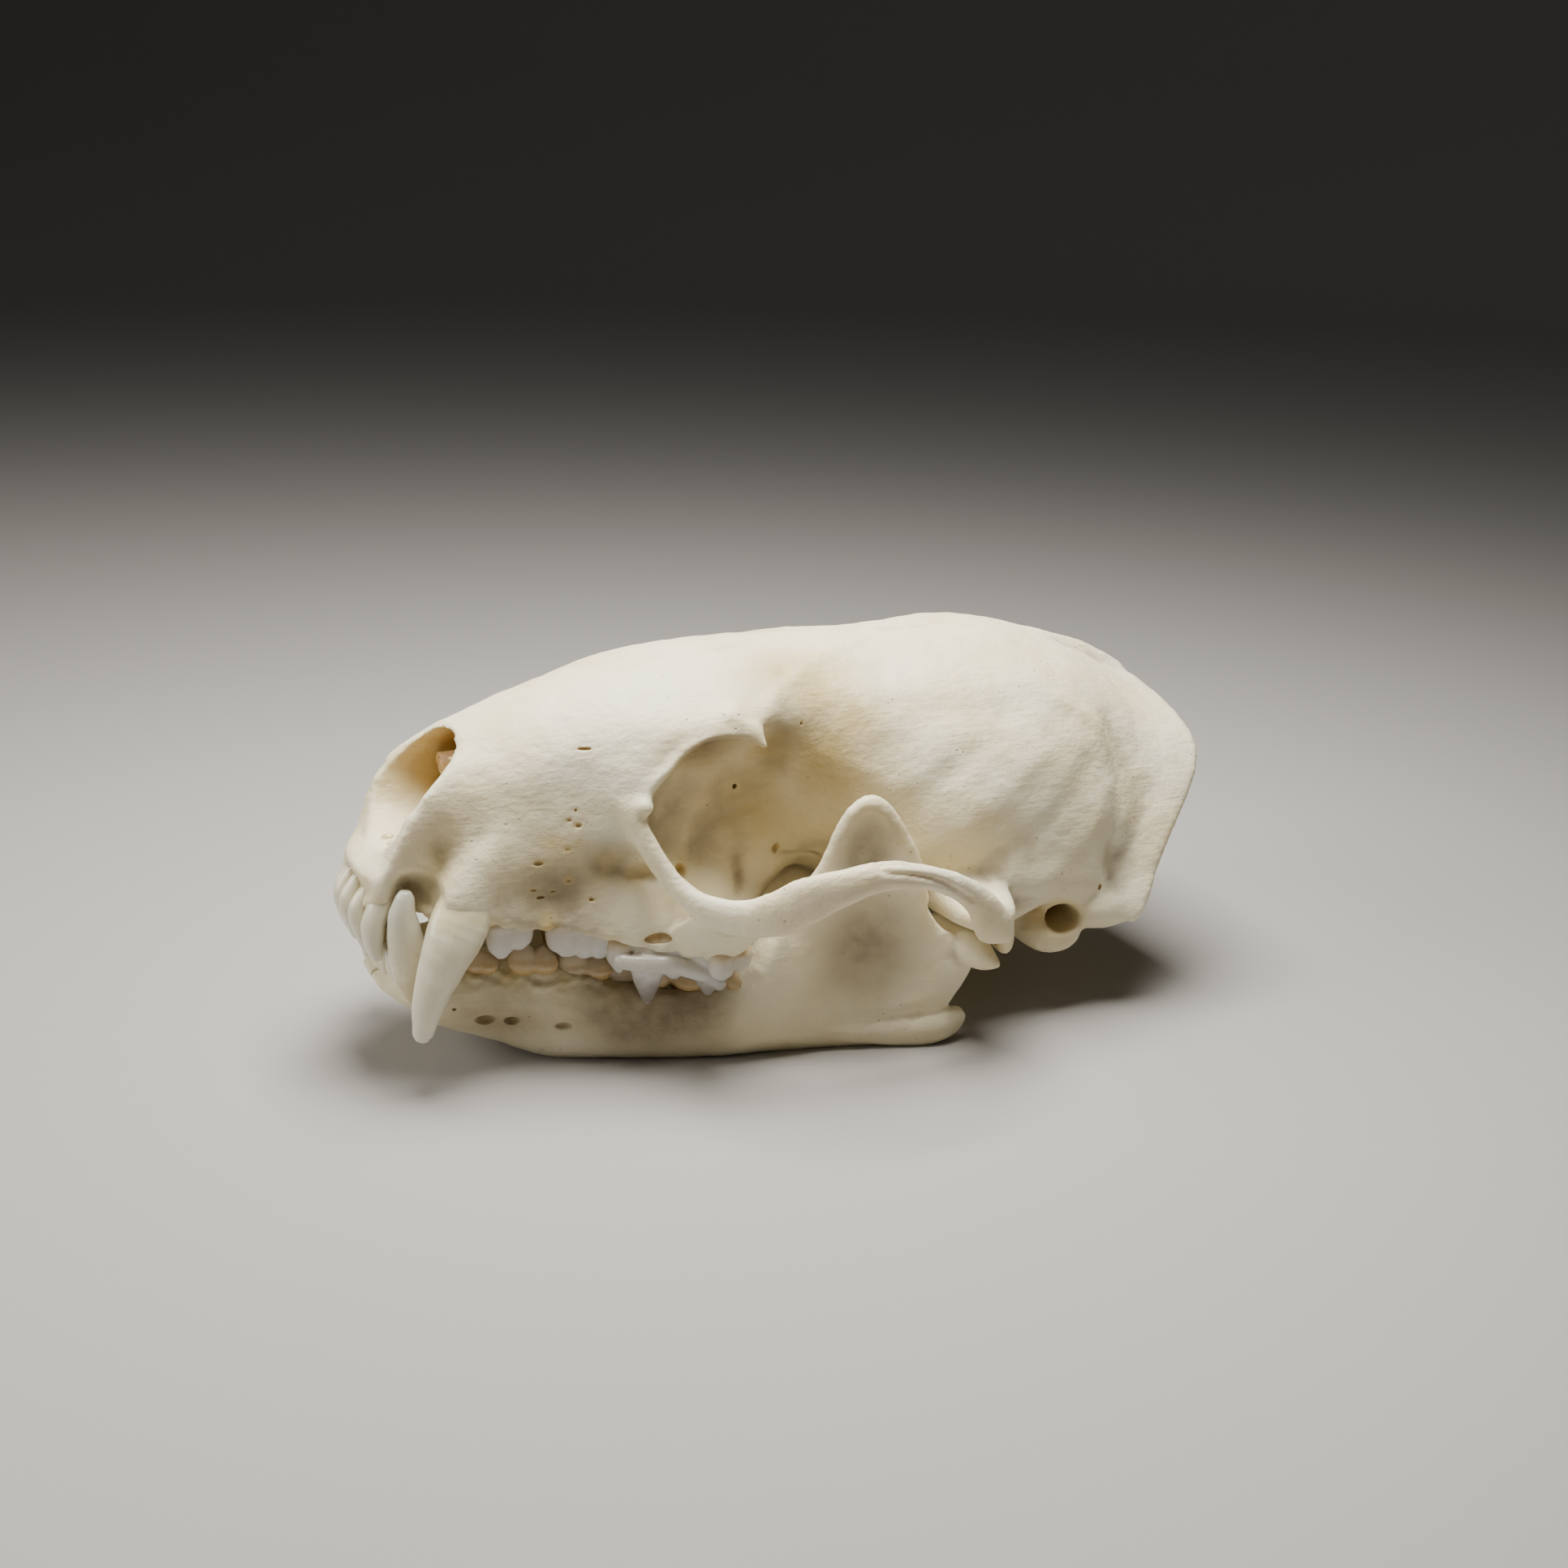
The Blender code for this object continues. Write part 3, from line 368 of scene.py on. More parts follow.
NECK_CONDYLE = (((66.4, 6.1, 13.0), 2.4, 2.6), ((66.6, 5.5, 10.4), 3.2, 3.6), ((65.0, 3.4, 8.0), 2.6, 3.2),
                ((63.2, 1.9, 7.8), 1.8, 2.2))
TEAR_KNOB = ((19.6, 10.2, 21.1), (0.75, 0.8, 0.7))
EAR_CAPSULE = ((53.2, 8.4, 9.2), (7.2, 4.8, 3.3))
MASTOID = ((58.4, 13.6, 8.6), (4.0, 2.4, 2.2))
NECK_SPUR = ((62.6, 10.8, 7.4), (1.8, 1.6, 2.2))
CREST_EDGE = ((68.9, 0.0, 23.1), (68.9, 4.0, 22.6), (68.9, 8.0, 21.4), (68.5, 11.3, 19.2), (66.4, 13.2, 16.5),
              (64.1, 14.4, 14.0), (62.3, 15.4, 11.3), (61.0, 16.1, 8.9), (60.0, 16.0, 7.4))
CREST_ROOT = ((61.5, 0.0, 25.4), (61.2, 3.4, 24.6), (60.8, 6.8, 22.8), (60.6, 9.4, 20.2), (60.0, 11.2, 17.2),
              (58.6, 12.4, 14.4), (57.2, 13.2, 11.4), (56.4, 13.4, 9.6), (56.0, 13.2, 8.6))
CREST_STEPS = 6
CREST_EDGE_THICKNESS = 0.9
CREST_ROOT_THICKNESS = 3.4


def crest(side):
    """The thin crest that flares out behind the ear."""
    edges = smooth_curve(CREST_EDGE, CREST_STEPS)
    roots = smooth_curve(CREST_ROOT, CREST_STEPS)
    runs = np.gradient(edges, axis=0)
    rings = []
    for edge, root, run in zip(edges, roots, runs):
        face = unit(np.cross(run, root - edge))
        rings.append(np.array([
            root + face * CREST_ROOT_THICKNESS / 2,
            (edge + root) / 2 + face * CREST_EDGE_THICKNESS,
            edge + face * CREST_EDGE_THICKNESS / 2,
            edge - face * CREST_EDGE_THICKNESS / 2,
            (edge + root) / 2 - face * CREST_EDGE_THICKNESS,
            root - face * CREST_ROOT_THICKNESS / 2,
        ]))
    return loft("crest", [on_side(ring, side) for ring in rings])


# %% [markdown]
# ## One cranium
#
# All of it runs together into one bone. The nose, the neck canal and the ear holes are hollows cut into it, and so
# is the room that the lower canine fills when the jaw is shut. A canal for a nerve runs under the front bar of the
# eye socket and comes out on the cheek.

# %% One cranium
NASAL_CAVITY = (((-2.0, 0.0, 20.8), 8.6, 7.8), ((6.0, 0.0, 21.1), 8.9, 7.7), ((12.0, 0.0, 21.2), 9.4, 7.8),
                ((18.5, 0.0, 20.3), 6.0, 5.0))
NECK_CANAL = (((73.0, 0.0, 12.8), 9.4, 7.4), ((66.0, 0.0, 12.8), 8.6, 6.6), ((60.0, 0.0, 13.0), 6.4, 5.2))
EAR_HOLE = (((54.0, 10.8, 8.3), 1.6, 2.3), ((53.9, 18.2, 8.1), 2.6, 4.0))
CHEEK_CANAL = (((14.6, 10.6, 16.6), 1.4, 2.0), ((17.6, 9.8, 16.4), 1.4, 2.1), ((20.4, 9.5, 15.6), 1.5, 1.9),
               ((23.4, 10.4, 15.2), 1.6, 1.8))
CANINE_HOLLOW = ((3.5, 7.0, 14.8), (1.9, 2.9, 2.6))
EYE_SOCKET = ((25.0, 12.3, 19.8), (6.3, 5.6, 6.3))
LOWER_CANINE = (((5.6, 4.0, 5.6), 2.6, 3.4), ((3.8, 4.5, 8.8), 2.6, 3.3), ((3.2, 4.9, 11.2), 2.2, 2.7),
                ((3.0, 5.1, 13.3), 1.8, 2.1), ((3.2, 5.2, 14.8), 1.2, 1.4))
CANINE_ROOM = 0.8
CRANIUM_VOXEL = 0.26
BONE_SMOOTHING = 8

# %% Running the cranium together
skin = cut(cranium_skin(), [ball("eye_socket", *EYE_SOCKET, side) for side in (1, -1)])
pieces = [skin, rod("crown_ridge", CROWN_RIDGE)]
for side in (1, -1):
    pieces += [
        rod("arch", ARCH, side),
        rod("arch_root", ARCH_FRONT_ROOT, side, up=(0.8, 0.55, 0.0)),
        rod("joint_roof", JOINT_ROOF, side),
        rod("joint_lip", JOINT_LIP, side),
        rod("joint_heel", JOINT_HEEL, side),
        rod("palate_wing", WING_OF_PALATE, side),
        rod("brow_spur", BROW_SPUR, side),
        rod("brow_rim", BROW_RIM, side, up=(0.0, 1.0, 0.0)),
        rod("canine_socket", CANINE_SOCKET, side, up=(0.0, 1.0, 0.0)),
        rod("ear_tube", EAR_TUBE, side, tip=0.25),
        rod("ear_ledge", EAR_LEDGE, side),
        rod("neck_condyle", NECK_CONDYLE, side, up=(1.0, 0.0, 0.0)),
        ball("tear_knob", *TEAR_KNOB, side),
        ball("ear_capsule", *EAR_CAPSULE, side),
        ball("mastoid", *MASTOID, side),
        ball("neck_spur", *NECK_SPUR, side),
        crest(side),
    ]
cranium = fused(joined("cranium", pieces), CRANIUM_VOXEL, 0)
print("cranium before it is hollowed:", triangles(cranium), "triangles")

# %% Hollowing the cranium
hollows = [ball("canine_hollow", *CANINE_HOLLOW, side) for side in (1, -1)]
room = [(centre, across + CANINE_ROOM, high + CANINE_ROOM) for centre, across, high in LOWER_CANINE]
for side in (1, -1):
    hollows.append(rod("ear_hole", EAR_HOLE, side, up=(1.0, 0.0, 0.0)))
    hollows.append(rod("canine_room", room, side, up=(1.0, 0.0, 0.0)))
    hollows.append(rod("cheek_canal", CHEEK_CANAL, side))
hollows += [rod("nasal_cavity", NASAL_CAVITY), rod("neck_canal", NECK_CANAL)]
cut(cranium, hollows)
fused(cranium, CRANIUM_VOXEL, BONE_SMOOTHING)
print("cranium:", triangles(cranium), "triangles")

# %% [markdown]
# ## Shaping with listed pushes
#
# A loft is too even for bone. Muscles, roots and vessels press on it, so the skin is now pushed like clay. A push
# has a centre, how far it reaches and how far it moves the skin. Lines raise ridges or press in the sutures where
# two bones met in the young animal. Slow waves keep any wall from being perfectly smooth.

# %% Tools for shaping
LINE_STEPS = 24
LINE_REACH = 3
WAVE_COUNT = 14
WAVE_SPREAD = (0.7, 1.5)


def push(points, centre, radii, by):
    """Both sides of the skin pushed near a point, fading away round it."""
    for side in (1, -1):
        nearness = np.exp(-np.sum(((points - on_side(centre, side)) / radii) ** 2, axis=1))
        points += nearness[:, None] * on_side(by, side)


def near_line(points, stops, width):
    """How near each point is to the curve through the stops: 1 on it, and fading to 0 over the width."""
    stops = smooth_curve(stops, LINE_STEPS)
    found = np.zeros(len(points))
    reach = LINE_REACH * width
    inside = np.all((points > stops.min(axis=0) - reach) & (points < stops.max(axis=0) + reach), axis=1)
    nearest = np.full(inside.sum(), np.inf)
    for stop in stops:
        nearest = np.minimum(nearest, np.sum((points[inside] - stop) ** 2, axis=1))
    found[inside] = np.exp(-nearest / width**2)
    return found


def ripple(points, size, seed):
    """Slow waves that never line up, about that many millimetres from crest to crest, mostly from -1 to 1."""
    rng = np.random.default_rng(seed)
    total = np.zeros(len(points))
    for _ in range(WAVE_COUNT):
        run = unit(rng.normal(size=3)) * 2 * math.pi / (size * rng.uniform(*WAVE_SPREAD))
        total += np.sin(points @ run + rng.uniform(0, 2 * math.pi))
    return total / math.sqrt(WAVE_COUNT)


def unevenness(points, waves):
    """Ripples added up, each given as its size and height in millimetres and its seed."""
    return sum(height * ripple(points, size, seed) for size, height, seed in waves)


def ridges(piece, lines):
    """The skin raised or pressed in along the lines, on both sides."""
    points, normals = table_points(piece), table_normals(piece)
    for stops, width, height in lines:
        for side in (1, -1):
            if side == 1 or np.abs(np.array(stops)[:, 1]).max() > 0:
                points += normals * (near_line(points, on_side(stops, side), width) * height)[:, None]
    move_points(piece, points)


# %% Where the cranium is pushed
CRANIUM_PUSHES = (
    # (centre, reach, push): the hollow under the brow, and the eye socket's wall
    ((25.8, 8.4, 24.2), (2.8, 2.2, 1.4), (0.1, -1.3, 0.5)),
    ((31.4, 9.0, 24.0), (2.4, 2.4, 2.8), (0.0, -0.6, 0.0)),
    # the step from the eye socket's floor back to the palate bone, and the bulge behind it
    ((28.6, 7.8, 13.4), (1.2, 1.5, 2.4), (0.0, -0.6, 0.0)),
    ((33.0, 7.2, 12.8), (2.6, 1.5, 1.3), (0.0, 0.45, 0.0)),
    ((34.3, 8.2, 16.6), (0.8, 1.0, 1.1), (0.0, 0.35, 0.0)),
    # the hollow where the nerve comes out, and the swelling over the shearing tooth's root
    ((16.6, 9.6, 16.2), (1.9, 1.5, 1.7), (0.2, -0.8, 0.0)),
    ((19.4, 10.5, 13.0), (1.5, 1.5, 1.8), (-0.1, 0.6, 0.0)),
    # the hollow between the canine's root and the nose, and the rounded bone over the incisors
    ((5.3, 6.3, 17.2), (1.3, 1.6, 2.4), (0.4, -0.55, 0.0)),
    ((1.2, 1.8, 16.0), (1.3, 3.4, 1.0), (-0.8, 0.1, 0.0)), ((9.8, 7.6, 17.6), (1.8, 1.5, 2.6), (0.0, 0.35, 0.0)),
    # the cheek's hollow behind the canine's root, and the roots of the premolars
    ((13.4, 8.8, 14.2), (3.0, 1.7, 1.8), (0.0, -0.9, 0.0)),
    ((10.6, 8.2, 13.6), (0.9, 1.2, 1.6), (0.0, 0.22, 0.0)),
    ((15.0, 9.3, 13.4), (1.2, 1.2, 1.5), (0.0, 0.22, 0.0)),
    # the wall runs down smoothly to the ledge over the ear hole
    ((50.6, 15.2, 12.0), (4.0, 2.2, 1.3), (0.0, 0.3, 0.0)),
    # the brain's swellings on the wall of the braincase, and the hollow in front of the crest
    ((45.0, 13.4, 20.6), (2.6, 3.0, 3.8), (0.0, 0.35, 0.0)),
    ((53.0, 13.6, 19.0), (2.4, 3.0, 3.6), (0.0, 0.2, 0.1)),
    ((41.0, 11.4, 23.6), (2.2, 2.6, 2.4), (0.0, -0.3, -0.1)),
    ((60.2, 11.8, 20.0), (1.9, 3.0, 4.2), (-0.3, -0.9, 0.0)),
    ((58.6, 15.0, 12.6), (1.9, 2.2, 3.2), (-0.2, -0.8, 0.0)),
)
print("pushes on each side of the cranium:", len(CRANIUM_PUSHES))

# %% Shaping the cranium
# (x, z): where the bone ends above the upper teeth, which is rough
SOCKET_EDGE = ((7.2, 13.1), (9.4, 12.3), (13.3, 12.0), (17.4, 11.0), (19.6, 10.3), (22.5, 9.4), (25.3, 9.3))
# (stops, width, height): ridges stand up and sutures are pressed in
CRANIUM_LINES = (
    (((38.0, 9.6, 16.0), (42.0, 13.0, 20.4), (47.4, 13.2, 24.0)), 1.3, -0.35),
    (((41.0, 13.0, 15.2), (46.0, 14.6, 18.6), (51.6, 13.8, 22.6)), 1.4, 0.32),
    (((46.0, 15.0, 13.8), (51.5, 15.0, 16.8), (56.4, 13.8, 20.8)), 1.2, -0.28),
    (((52.0, 15.4, 13.0), (55.4, 15.0, 15.6), (58.0, 13.8, 18.4)), 1.0, 0.2),
    (((40.4, 9.4, 26.2), (45.4, 11.0, 25.6), (50.0, 11.4, 25.4)), 1.4, -0.2),
    (((28.8, 9.9, 25.9), (31.2, 8.0, 27.6), (35.6, 5.2, 29.2), (41.0, 2.0, 30.0)), 0.8, 0.22),
    (((55.0, 10.4, 25.4), (58.6, 11.4, 22.6), (60.2, 13.0, 18.4), (59.0, 14.6, 14.0)), 0.7, 0.14),
    (((9.6, 1.8, 26.2), (13.0, 1.7, 27.1), (19.6, 1.5, 28.7), (26.4, 1.1, 29.6)), 0.22, -0.13),
    (((9.2, 0.0, 26.3), (15.0, 0.0, 27.7), (22.0, 0.0, 29.1), (29.0, 0.0, 29.7)), 0.22, -0.12),
    (((31.0, 7.4, 14.8), (32.4, 7.1, 14.4), (34.0, 7.0, 14.0), (35.8, 7.0, 13.7)), 0.2, -0.35),
    (((7.0, 6.2, 22.4), (10.0, 6.0, 23.6), (13.6, 5.2, 26.0), (16.2, 2.4, 28.0)), 0.2, -0.06),
    (((40.0, 12.4, 15.2), (43.4, 14.2, 16.8), (48.0, 15.0, 17.2), (53.0, 15.0, 15.6)), 0.22, -0.07),
    (((33.3, 20.6, 18.3), (33.5, 21.3, 18.0), (35.4, 21.5, 17.6), (38.0, 21.4, 16.6), (40.9, 21.2, 14.6)),
     0.2, -0.34),
    (((33.2, 20.4, 18.3), (34.6, 20.9, 18.2), (37.4, 20.9, 17.2), (40.4, 20.7, 15.7)), 0.2, -0.28),
)
# (size, height, seed): slow waves of the skin
CRANIUM_WAVES = ((5.5, 0.05, 3), (2.2, 0.025, 4), (0.9, 0.01, 5))
SOCKET_EDGE_WIDTH = 0.7
SOCKET_EDGE_HEIGHT = 0.1
SOCKET_EDGE_END = 27

points = table_points(cranium)
for centre, radii, by in CRANIUM_PUSHES:
    push(points, centre, radii, by)
move_points(cranium, points)
ridges(cranium, CRANIUM_LINES)
points, normals = table_points(cranium), table_normals(cranium)
uneven = unevenness(points, CRANIUM_WAVES)
above_edge = points[:, 2] - np.interp(points[:, 0], *zip(*SOCKET_EDGE))
socket_edge = np.exp(-((above_edge / SOCKET_EDGE_WIDTH) ** 2))
uneven += socket_edge * (points[:, 0] < SOCKET_EDGE_END) * SOCKET_EDGE_HEIGHT * ripple(points, 1.0, seed=12)
points += normals * uneven[:, None]
move_points(cranium, points)
print("cranium shaped in", len(CRANIUM_PUSHES), "pushes and", len(CRANIUM_LINES), "lines")

# %% [markdown]
# ## The lower jaw
#
# Each half of the jaw is a tapering plate of bone. Four rails give its upper and lower edge and its inner and outer
# face at every station. The upper edge rises into the tall blade that the biting muscle pulls on, and the hollow in
# its outer face, with a sharp ridge below, is where the chewing muscle sat.

# %% The lower jaw
JAW_TOP = ((1.6, 7.0), (4.0, 8.3), (8.0, 8.7), (13.0, 8.2), (16.0, 7.3), (18.0, 6.4), (23.0, 5.4), (25.6, 5.6),
           (27.2, 7.4), (28.4, 10.0), (30.0, 12.6), (32.0, 15.4), (33.5, 19.2), (35.4, 21.2), (37.3, 19.9),
           (39.2, 16.6), (40.4, 12.6), (42.0, 9.9), (44.6, 8.7))
JAW_BOTTOM = ((1.6, 6.5), (2.6, 5.5), (4.0, 4.4), (6.0, 2.8), (9.0, 1.4), (12.0, 0.3), (15.0, -0.3), (23.0, -0.4),
              (34.0, -0.4), (39.0, -0.3), (41.4, 0.2), (42.8, 2.4), (43.8, 4.2), (44.6, 6.2))
JAW_INNER = ((1.6, -0.6), (9.0, -0.6), (11.0, 0.9), (13.0, 2.8), (17.0, 4.9), (23.5, 7.6), (28.0, 9.4),
             (33.4, 11.8), (38.0, 13.4), (44.6, 14.8))
JAW_OUTER = ((1.6, 2.4), (3.0, 4.0), (5.0, 5.3), (8.0, 6.0), (12.0, 7.1), (17.0, 9.2), (23.5, 11.6), (28.0, 13.0),
             (33.4, 14.0), (38.0, 15.3), (44.6, 16.4))
# the plate leans outwards by this share of its height above the second number
JAW_SPLAY = 0.1
JAW_SPLAY_FROM = 6.0
JAW_CONDYLE = (((43.4, 11.8, 8.5), 2.0, 1.8), ((43.9, 13.5, 8.5), 2.5, 2.5), ((44.2, 16.5, 8.2), 2.5, 2.9),
               ((44.5, 17.9, 7.9), 1.9, 2.0), ((44.8, 19.0, 7.8), 0.9, 0.8))
JAW_HEEL = (((33.0, 12.6, 1.8), 0.8, 1.6), ((37.6, 14.0, 1.3), 1.4, 2.4), ((41.2, 15.0, 1.2), 1.8, 2.8),
            ((43.2, 15.3, 1.6), 1.6, 2.6), ((44.1, 15.4, 2.1), 1.1, 1.8))
print("the jaw's halves are", JAW_TOP[-1][0] - JAW_TOP[0][0], "mm long")

# %% Where the jaw is pushed
JAW_PUSHES = (
    # the funnels of the three holes on the chin
    ((8.8, 6.1, 4.0), (1.7, 1.6, 0.9), (0.0, -0.4, 0.0)),
    ((10.9, 6.8, 3.8), (1.3, 1.6, 0.8), (0.0, -0.35, 0.0)),
    ((14.3, 8.0, 3.3), (1.4, 1.6, 0.7), (0.0, -0.3, 0.0)),
    # the hollow for the chewing muscle, up into the blade, and the hollow below the shearing teeth
    ((36.4, 16.2, 8.6), (3.8, 2.5, 5.4), (0.0, -1.7, 0.0)),
    ((35.5, 16.0, 16.4), (1.6, 2.2, 2.8), (0.0, -1.3, 0.0)),
    ((20.6, 11.2, 4.4), (5.0, 2.4, 1.9), (0.0, -0.9, 0.0)),
    # the blade's front edge, the ridge above the heel, and the roots of the teeth
    ((30.2, 14.0, 6.4), (1.5, 2.4, 3.6), (0.0, 0.4, 0.0)),
    ((37.0, 15.2, 3.6), (5.0, 2.0, 1.0), (0.0, 0.3, 0.0)),
    ((12.6, 7.6, 6.6), (0.9, 1.2, 0.8), (0.0, 0.2, 0.0)),
    ((16.2, 8.8, 5.7), (1.2, 1.2, 0.8), (0.0, 0.2, 0.0)),
    ((10.6, 7.0, 2.6), (3.0, 2.0, 0.9), (0.0, -0.35, 0.0)),
)
JAW_LINES = (
    (((28.4, 12.9, 7.6), (29.4, 13.6, 12.0), (31.4, 14.4, 15.4), (33.8, 15.0, 19.6)), 0.7, 0.55),
    (((27.0, 12.0, 2.4), (32.0, 13.2, 2.0), (37.0, 14.4, 1.6), (42.0, 15.6, 1.8)), 1.2, 0.35),
    (((34.2, 15.0, 20.4), (35.4, 15.2, 20.8), (37.0, 15.3, 19.4), (38.8, 15.4, 16.2), (40.2, 15.5, 12.6)),
     0.6, 0.5),
    (((11.0, 7.0, 5.4), (15.0, 8.6, 4.8), (20.0, 10.6, 3.6), (25.0, 12.2, 2.6)), 0.6, 0.12),
)

# %% Making the jaw
JAW_VOXEL = 0.2
JAW_STATIONS = 160
JAW_TURNS = 48
JAW_STEPS = 12
JAW_WAVES = ((4.0, 0.04, 6), (1.4, 0.02, 7))
# the rough edge below the teeth: its height at the front, how steeply it falls, where from, its width and its end
GUM_HEIGHT, GUM_FALL, GUM_FROM, GUM_WIDTH, GUM_END = 7.2, 0.12, 12, 0.8, 25
GUM_ROUGHNESS = 0.08
CHIN_GAP = 0.15


def mandible(name, side):
    """One half of the lower jaw, flat where it stands on the table and where the halves meet."""
    stations = np.linspace(JAW_TOP[0][0], JAW_TOP[-1][0], JAW_STATIONS)
    rails = []
    for stops in (JAW_TOP, JAW_BOTTOM, JAW_INNER, JAW_OUTER):
        curve = smooth_curve(stops, JAW_STEPS)
        rails.append(np.interp(stations, curve[:, 0], curve[:, 1]))
    turns = round_turns(JAW_TURNS)
    rings = []
    for x, top, bottom, inner, outer in zip(stations, *rails):
        z = (top + bottom) / 2 + np.sin(turns) * (top - bottom) / 2
        y = (inner + outer) / 2 + np.cos(turns) * (outer - inner) / 2 + JAW_SPLAY * (z - JAW_SPLAY_FROM)
        rings.append(np.column_stack([np.full(len(z), x), y * side, z]))
    pieces = [loft("plate", rings), rod("condyle", JAW_CONDYLE, side), rod("heel", JAW_HEEL, side)]
    whole = fused(joined(name, pieces), JAW_VOXEL, BONE_SMOOTHING)
    points = table_points(whole)
    for centre, radii, by in JAW_PUSHES:
        push(points, centre, radii, by)
    move_points(whole, points)
    ridges(whole, JAW_LINES)
    points, normals = table_points(whole), table_normals(whole)
    above_edge = points[:, 2] - GUM_HEIGHT + GUM_FALL * (points[:, 0] - GUM_FROM)
    gum_edge = np.exp(-((above_edge / GUM_WIDTH) ** 2)) * (points[:, 0] < GUM_END)
    uneven = unevenness(points, JAW_WAVES)
    uneven += gum_edge * GUM_ROUGHNESS * ripple(points, 0.9, seed=8)
    points += normals * uneven[:, None]
    points[:, 2] = np.maximum(points[:, 2], 0.0)
    points[:, 1] = side * np.maximum(points[:, 1] * side, CHIN_GAP)
    move_points(whole, points)
    print(name, triangles(whole), "triangles")
    return whole


mandibles = {side: mandible(f"mandible_{word}", side) for side, word in ((1, "right"), (-1, "left"))}

# %% [markdown]
# ## Pores and openings for vessels
#
# Vessels and nerves leave holes in bone. The larger ones are real pits here, cut with small eggs that stand across
# the skin: a cluster on the cheek, a slit on the bridge of the nose, one in the eye socket and three on the chin.
# The points at each rim are then evened out among their neighbours, because old bone has no sharp edges.

# %% Pores
CRANIUM_PORES = (
    ((15.2, 8.2, 20.7), (0.14, 0.4, 0.16)), ((14.7, 8.2, 20.0), (0.24, 0.4, 0.22)),
    ((15.3, 8.4, 19.6), (0.28, 0.4, 0.26)), ((13.3, 8.5, 18.5), (0.6, 0.6, 0.38)),
    ((14.4, 8.7, 17.9), (0.44, 0.55, 0.34)), ((15.3, 8.9, 18.3), (0.24, 0.4, 0.22)),
    ((12.3, 8.2, 17.0), (0.46, 0.5, 0.28)), ((14.5, 8.6, 15.4), (0.36, 0.6, 0.3)),
    ((12.0, 8.0, 14.9), (0.3, 0.4, 0.14)), ((12.5, 7.8, 14.2), (0.34, 0.4, 0.14)),
    ((16.0, 9.0, 13.9), (0.22, 0.4, 0.16)), ((13.4, 8.1, 14.6), (0.3, 0.4, 0.12)),
    ((16.3, 7.0, 24.9), (0.55, 0.4, 0.12)), ((28.3, 6.5, 20.4), (0.2, 0.6, 0.26)),
    ((32.9, 8.9, 25.35), (0.12, 0.5, 0.2)), ((26.2, 7.4, 14.2), (0.16, 0.5, 0.3)),
    ((41.8, 12.4, 13.4), (0.5, 1.0, 0.6)), ((36.6, 8.2, 13.2), (0.8, 1.2, 0.6)),
    ((31.8, 7.4, 14.9), (0.35, 1.0, 0.5)), ((57.0, 14.8, 10.6), (0.25, 0.5, 0.3)),
    ((20.4, 11.0, 10.9), (1.1, 0.9, 0.42)), ((23.2, 9.2, 15.0), (0.6, 1.4, 0.7)),
)
JAW_PORES = (
    ((8.7, 5.8, 4.0), (0.8, 1.3, 0.5)), ((10.6, 6.3, 3.8), (0.62, 1.2, 0.44)),
    ((14.1, 7.7, 3.3), (0.75, 0.9, 0.34)), ((39.6, 12.6, 7.6), (0.5, 0.8, 0.4)),
    ((6.4, 5.4, 5.4), (0.16, 0.4, 0.12)),
)
# how far a worn rim reaches, as a share of its pit, and how often it is evened
RIM_REACH = 1.5
RIM_PASSES = 2


def blobs(points, spots):
    """How much of a stain each point takes from spots on both sides."""
    total = np.zeros(len(points))
    for centre, radii, strength in spots:
        nearness = np.exp(-np.sum(((np.abs(points) - centre) / radii) ** 2, axis=1))
        total = np.maximum(total, nearness * strength)
    return total


def evened(piece, points, passes, share):
    """The points after a few passes that carry each one, by its share, to the middle of its neighbours."""
    edges = np.empty(len(piece.data.edges) * 2, int)
    piece.data.edges.foreach_get("vertices", edges)
    ends = np.concatenate([edges[::2], edges[1::2]])
    others = np.concatenate([edges[1::2], edges[::2]])
    count = np.bincount(ends, minlength=len(points))
    for _ in range(passes):
        total = np.column_stack([np.bincount(ends, points[others, axis], len(points)) for axis in range(3)])
        points = points + share * (total / count[:, None] - points)
    return points


def pitted(piece, pores, sides):
    """Pits cut into a piece, with worn rims."""
    cut(piece, [ball("pore", *pore, side) for pore in pores for side in sides])
    points = table_points(piece)
    rims = [(centre, np.array(radii) * RIM_REACH, 1.0) for centre, radii in pores]
    share = np.clip(blobs(points, rims) * 2, 0.0, 1.0)[:, None]
    move_points(piece, evened(piece, points, RIM_PASSES, share))


pitted(cranium, CRANIUM_PORES, (1, -1))
for side, piece in mandibles.items():
    pitted(piece, JAW_PORES, (side,))
print("pores:", 2 * (len(CRANIUM_PORES) + len(JAW_PORES)))

# %% [markdown]
# ## A lighter cranium
#
# The voxels give the cranium more faces than its shape needs. Decimate merges them where the skin is nearly flat
# and keeps the pits and edges.

# %% A lighter cranium
CRANIUM_TRIANGLES = 190000


def thinned(piece, most):
    """The same form with no more triangles than that."""
    if triangles(piece) > most:
        decimate = piece.modifiers.new("thin", "DECIMATE")
        decimate.ratio = most / triangles(piece)
        applied(piece)
    return piece


thinned(cranium, CRANIUM_TRIANGLES)
print("cranium:", triangles(cranium), "triangles")

# %% [markdown]
# ## Teeth
#
# Front teeth are tapered rods. A cheek tooth is a row of cusps run together over a root that leans inwards in the
# bone. Each cusp is given as its place along and across the tooth, its height, its length and its width. A profile
# says how cusps narrow upwards: sharp ones shear meat, and blunt ones are worn. Fine voxels keep their edges.

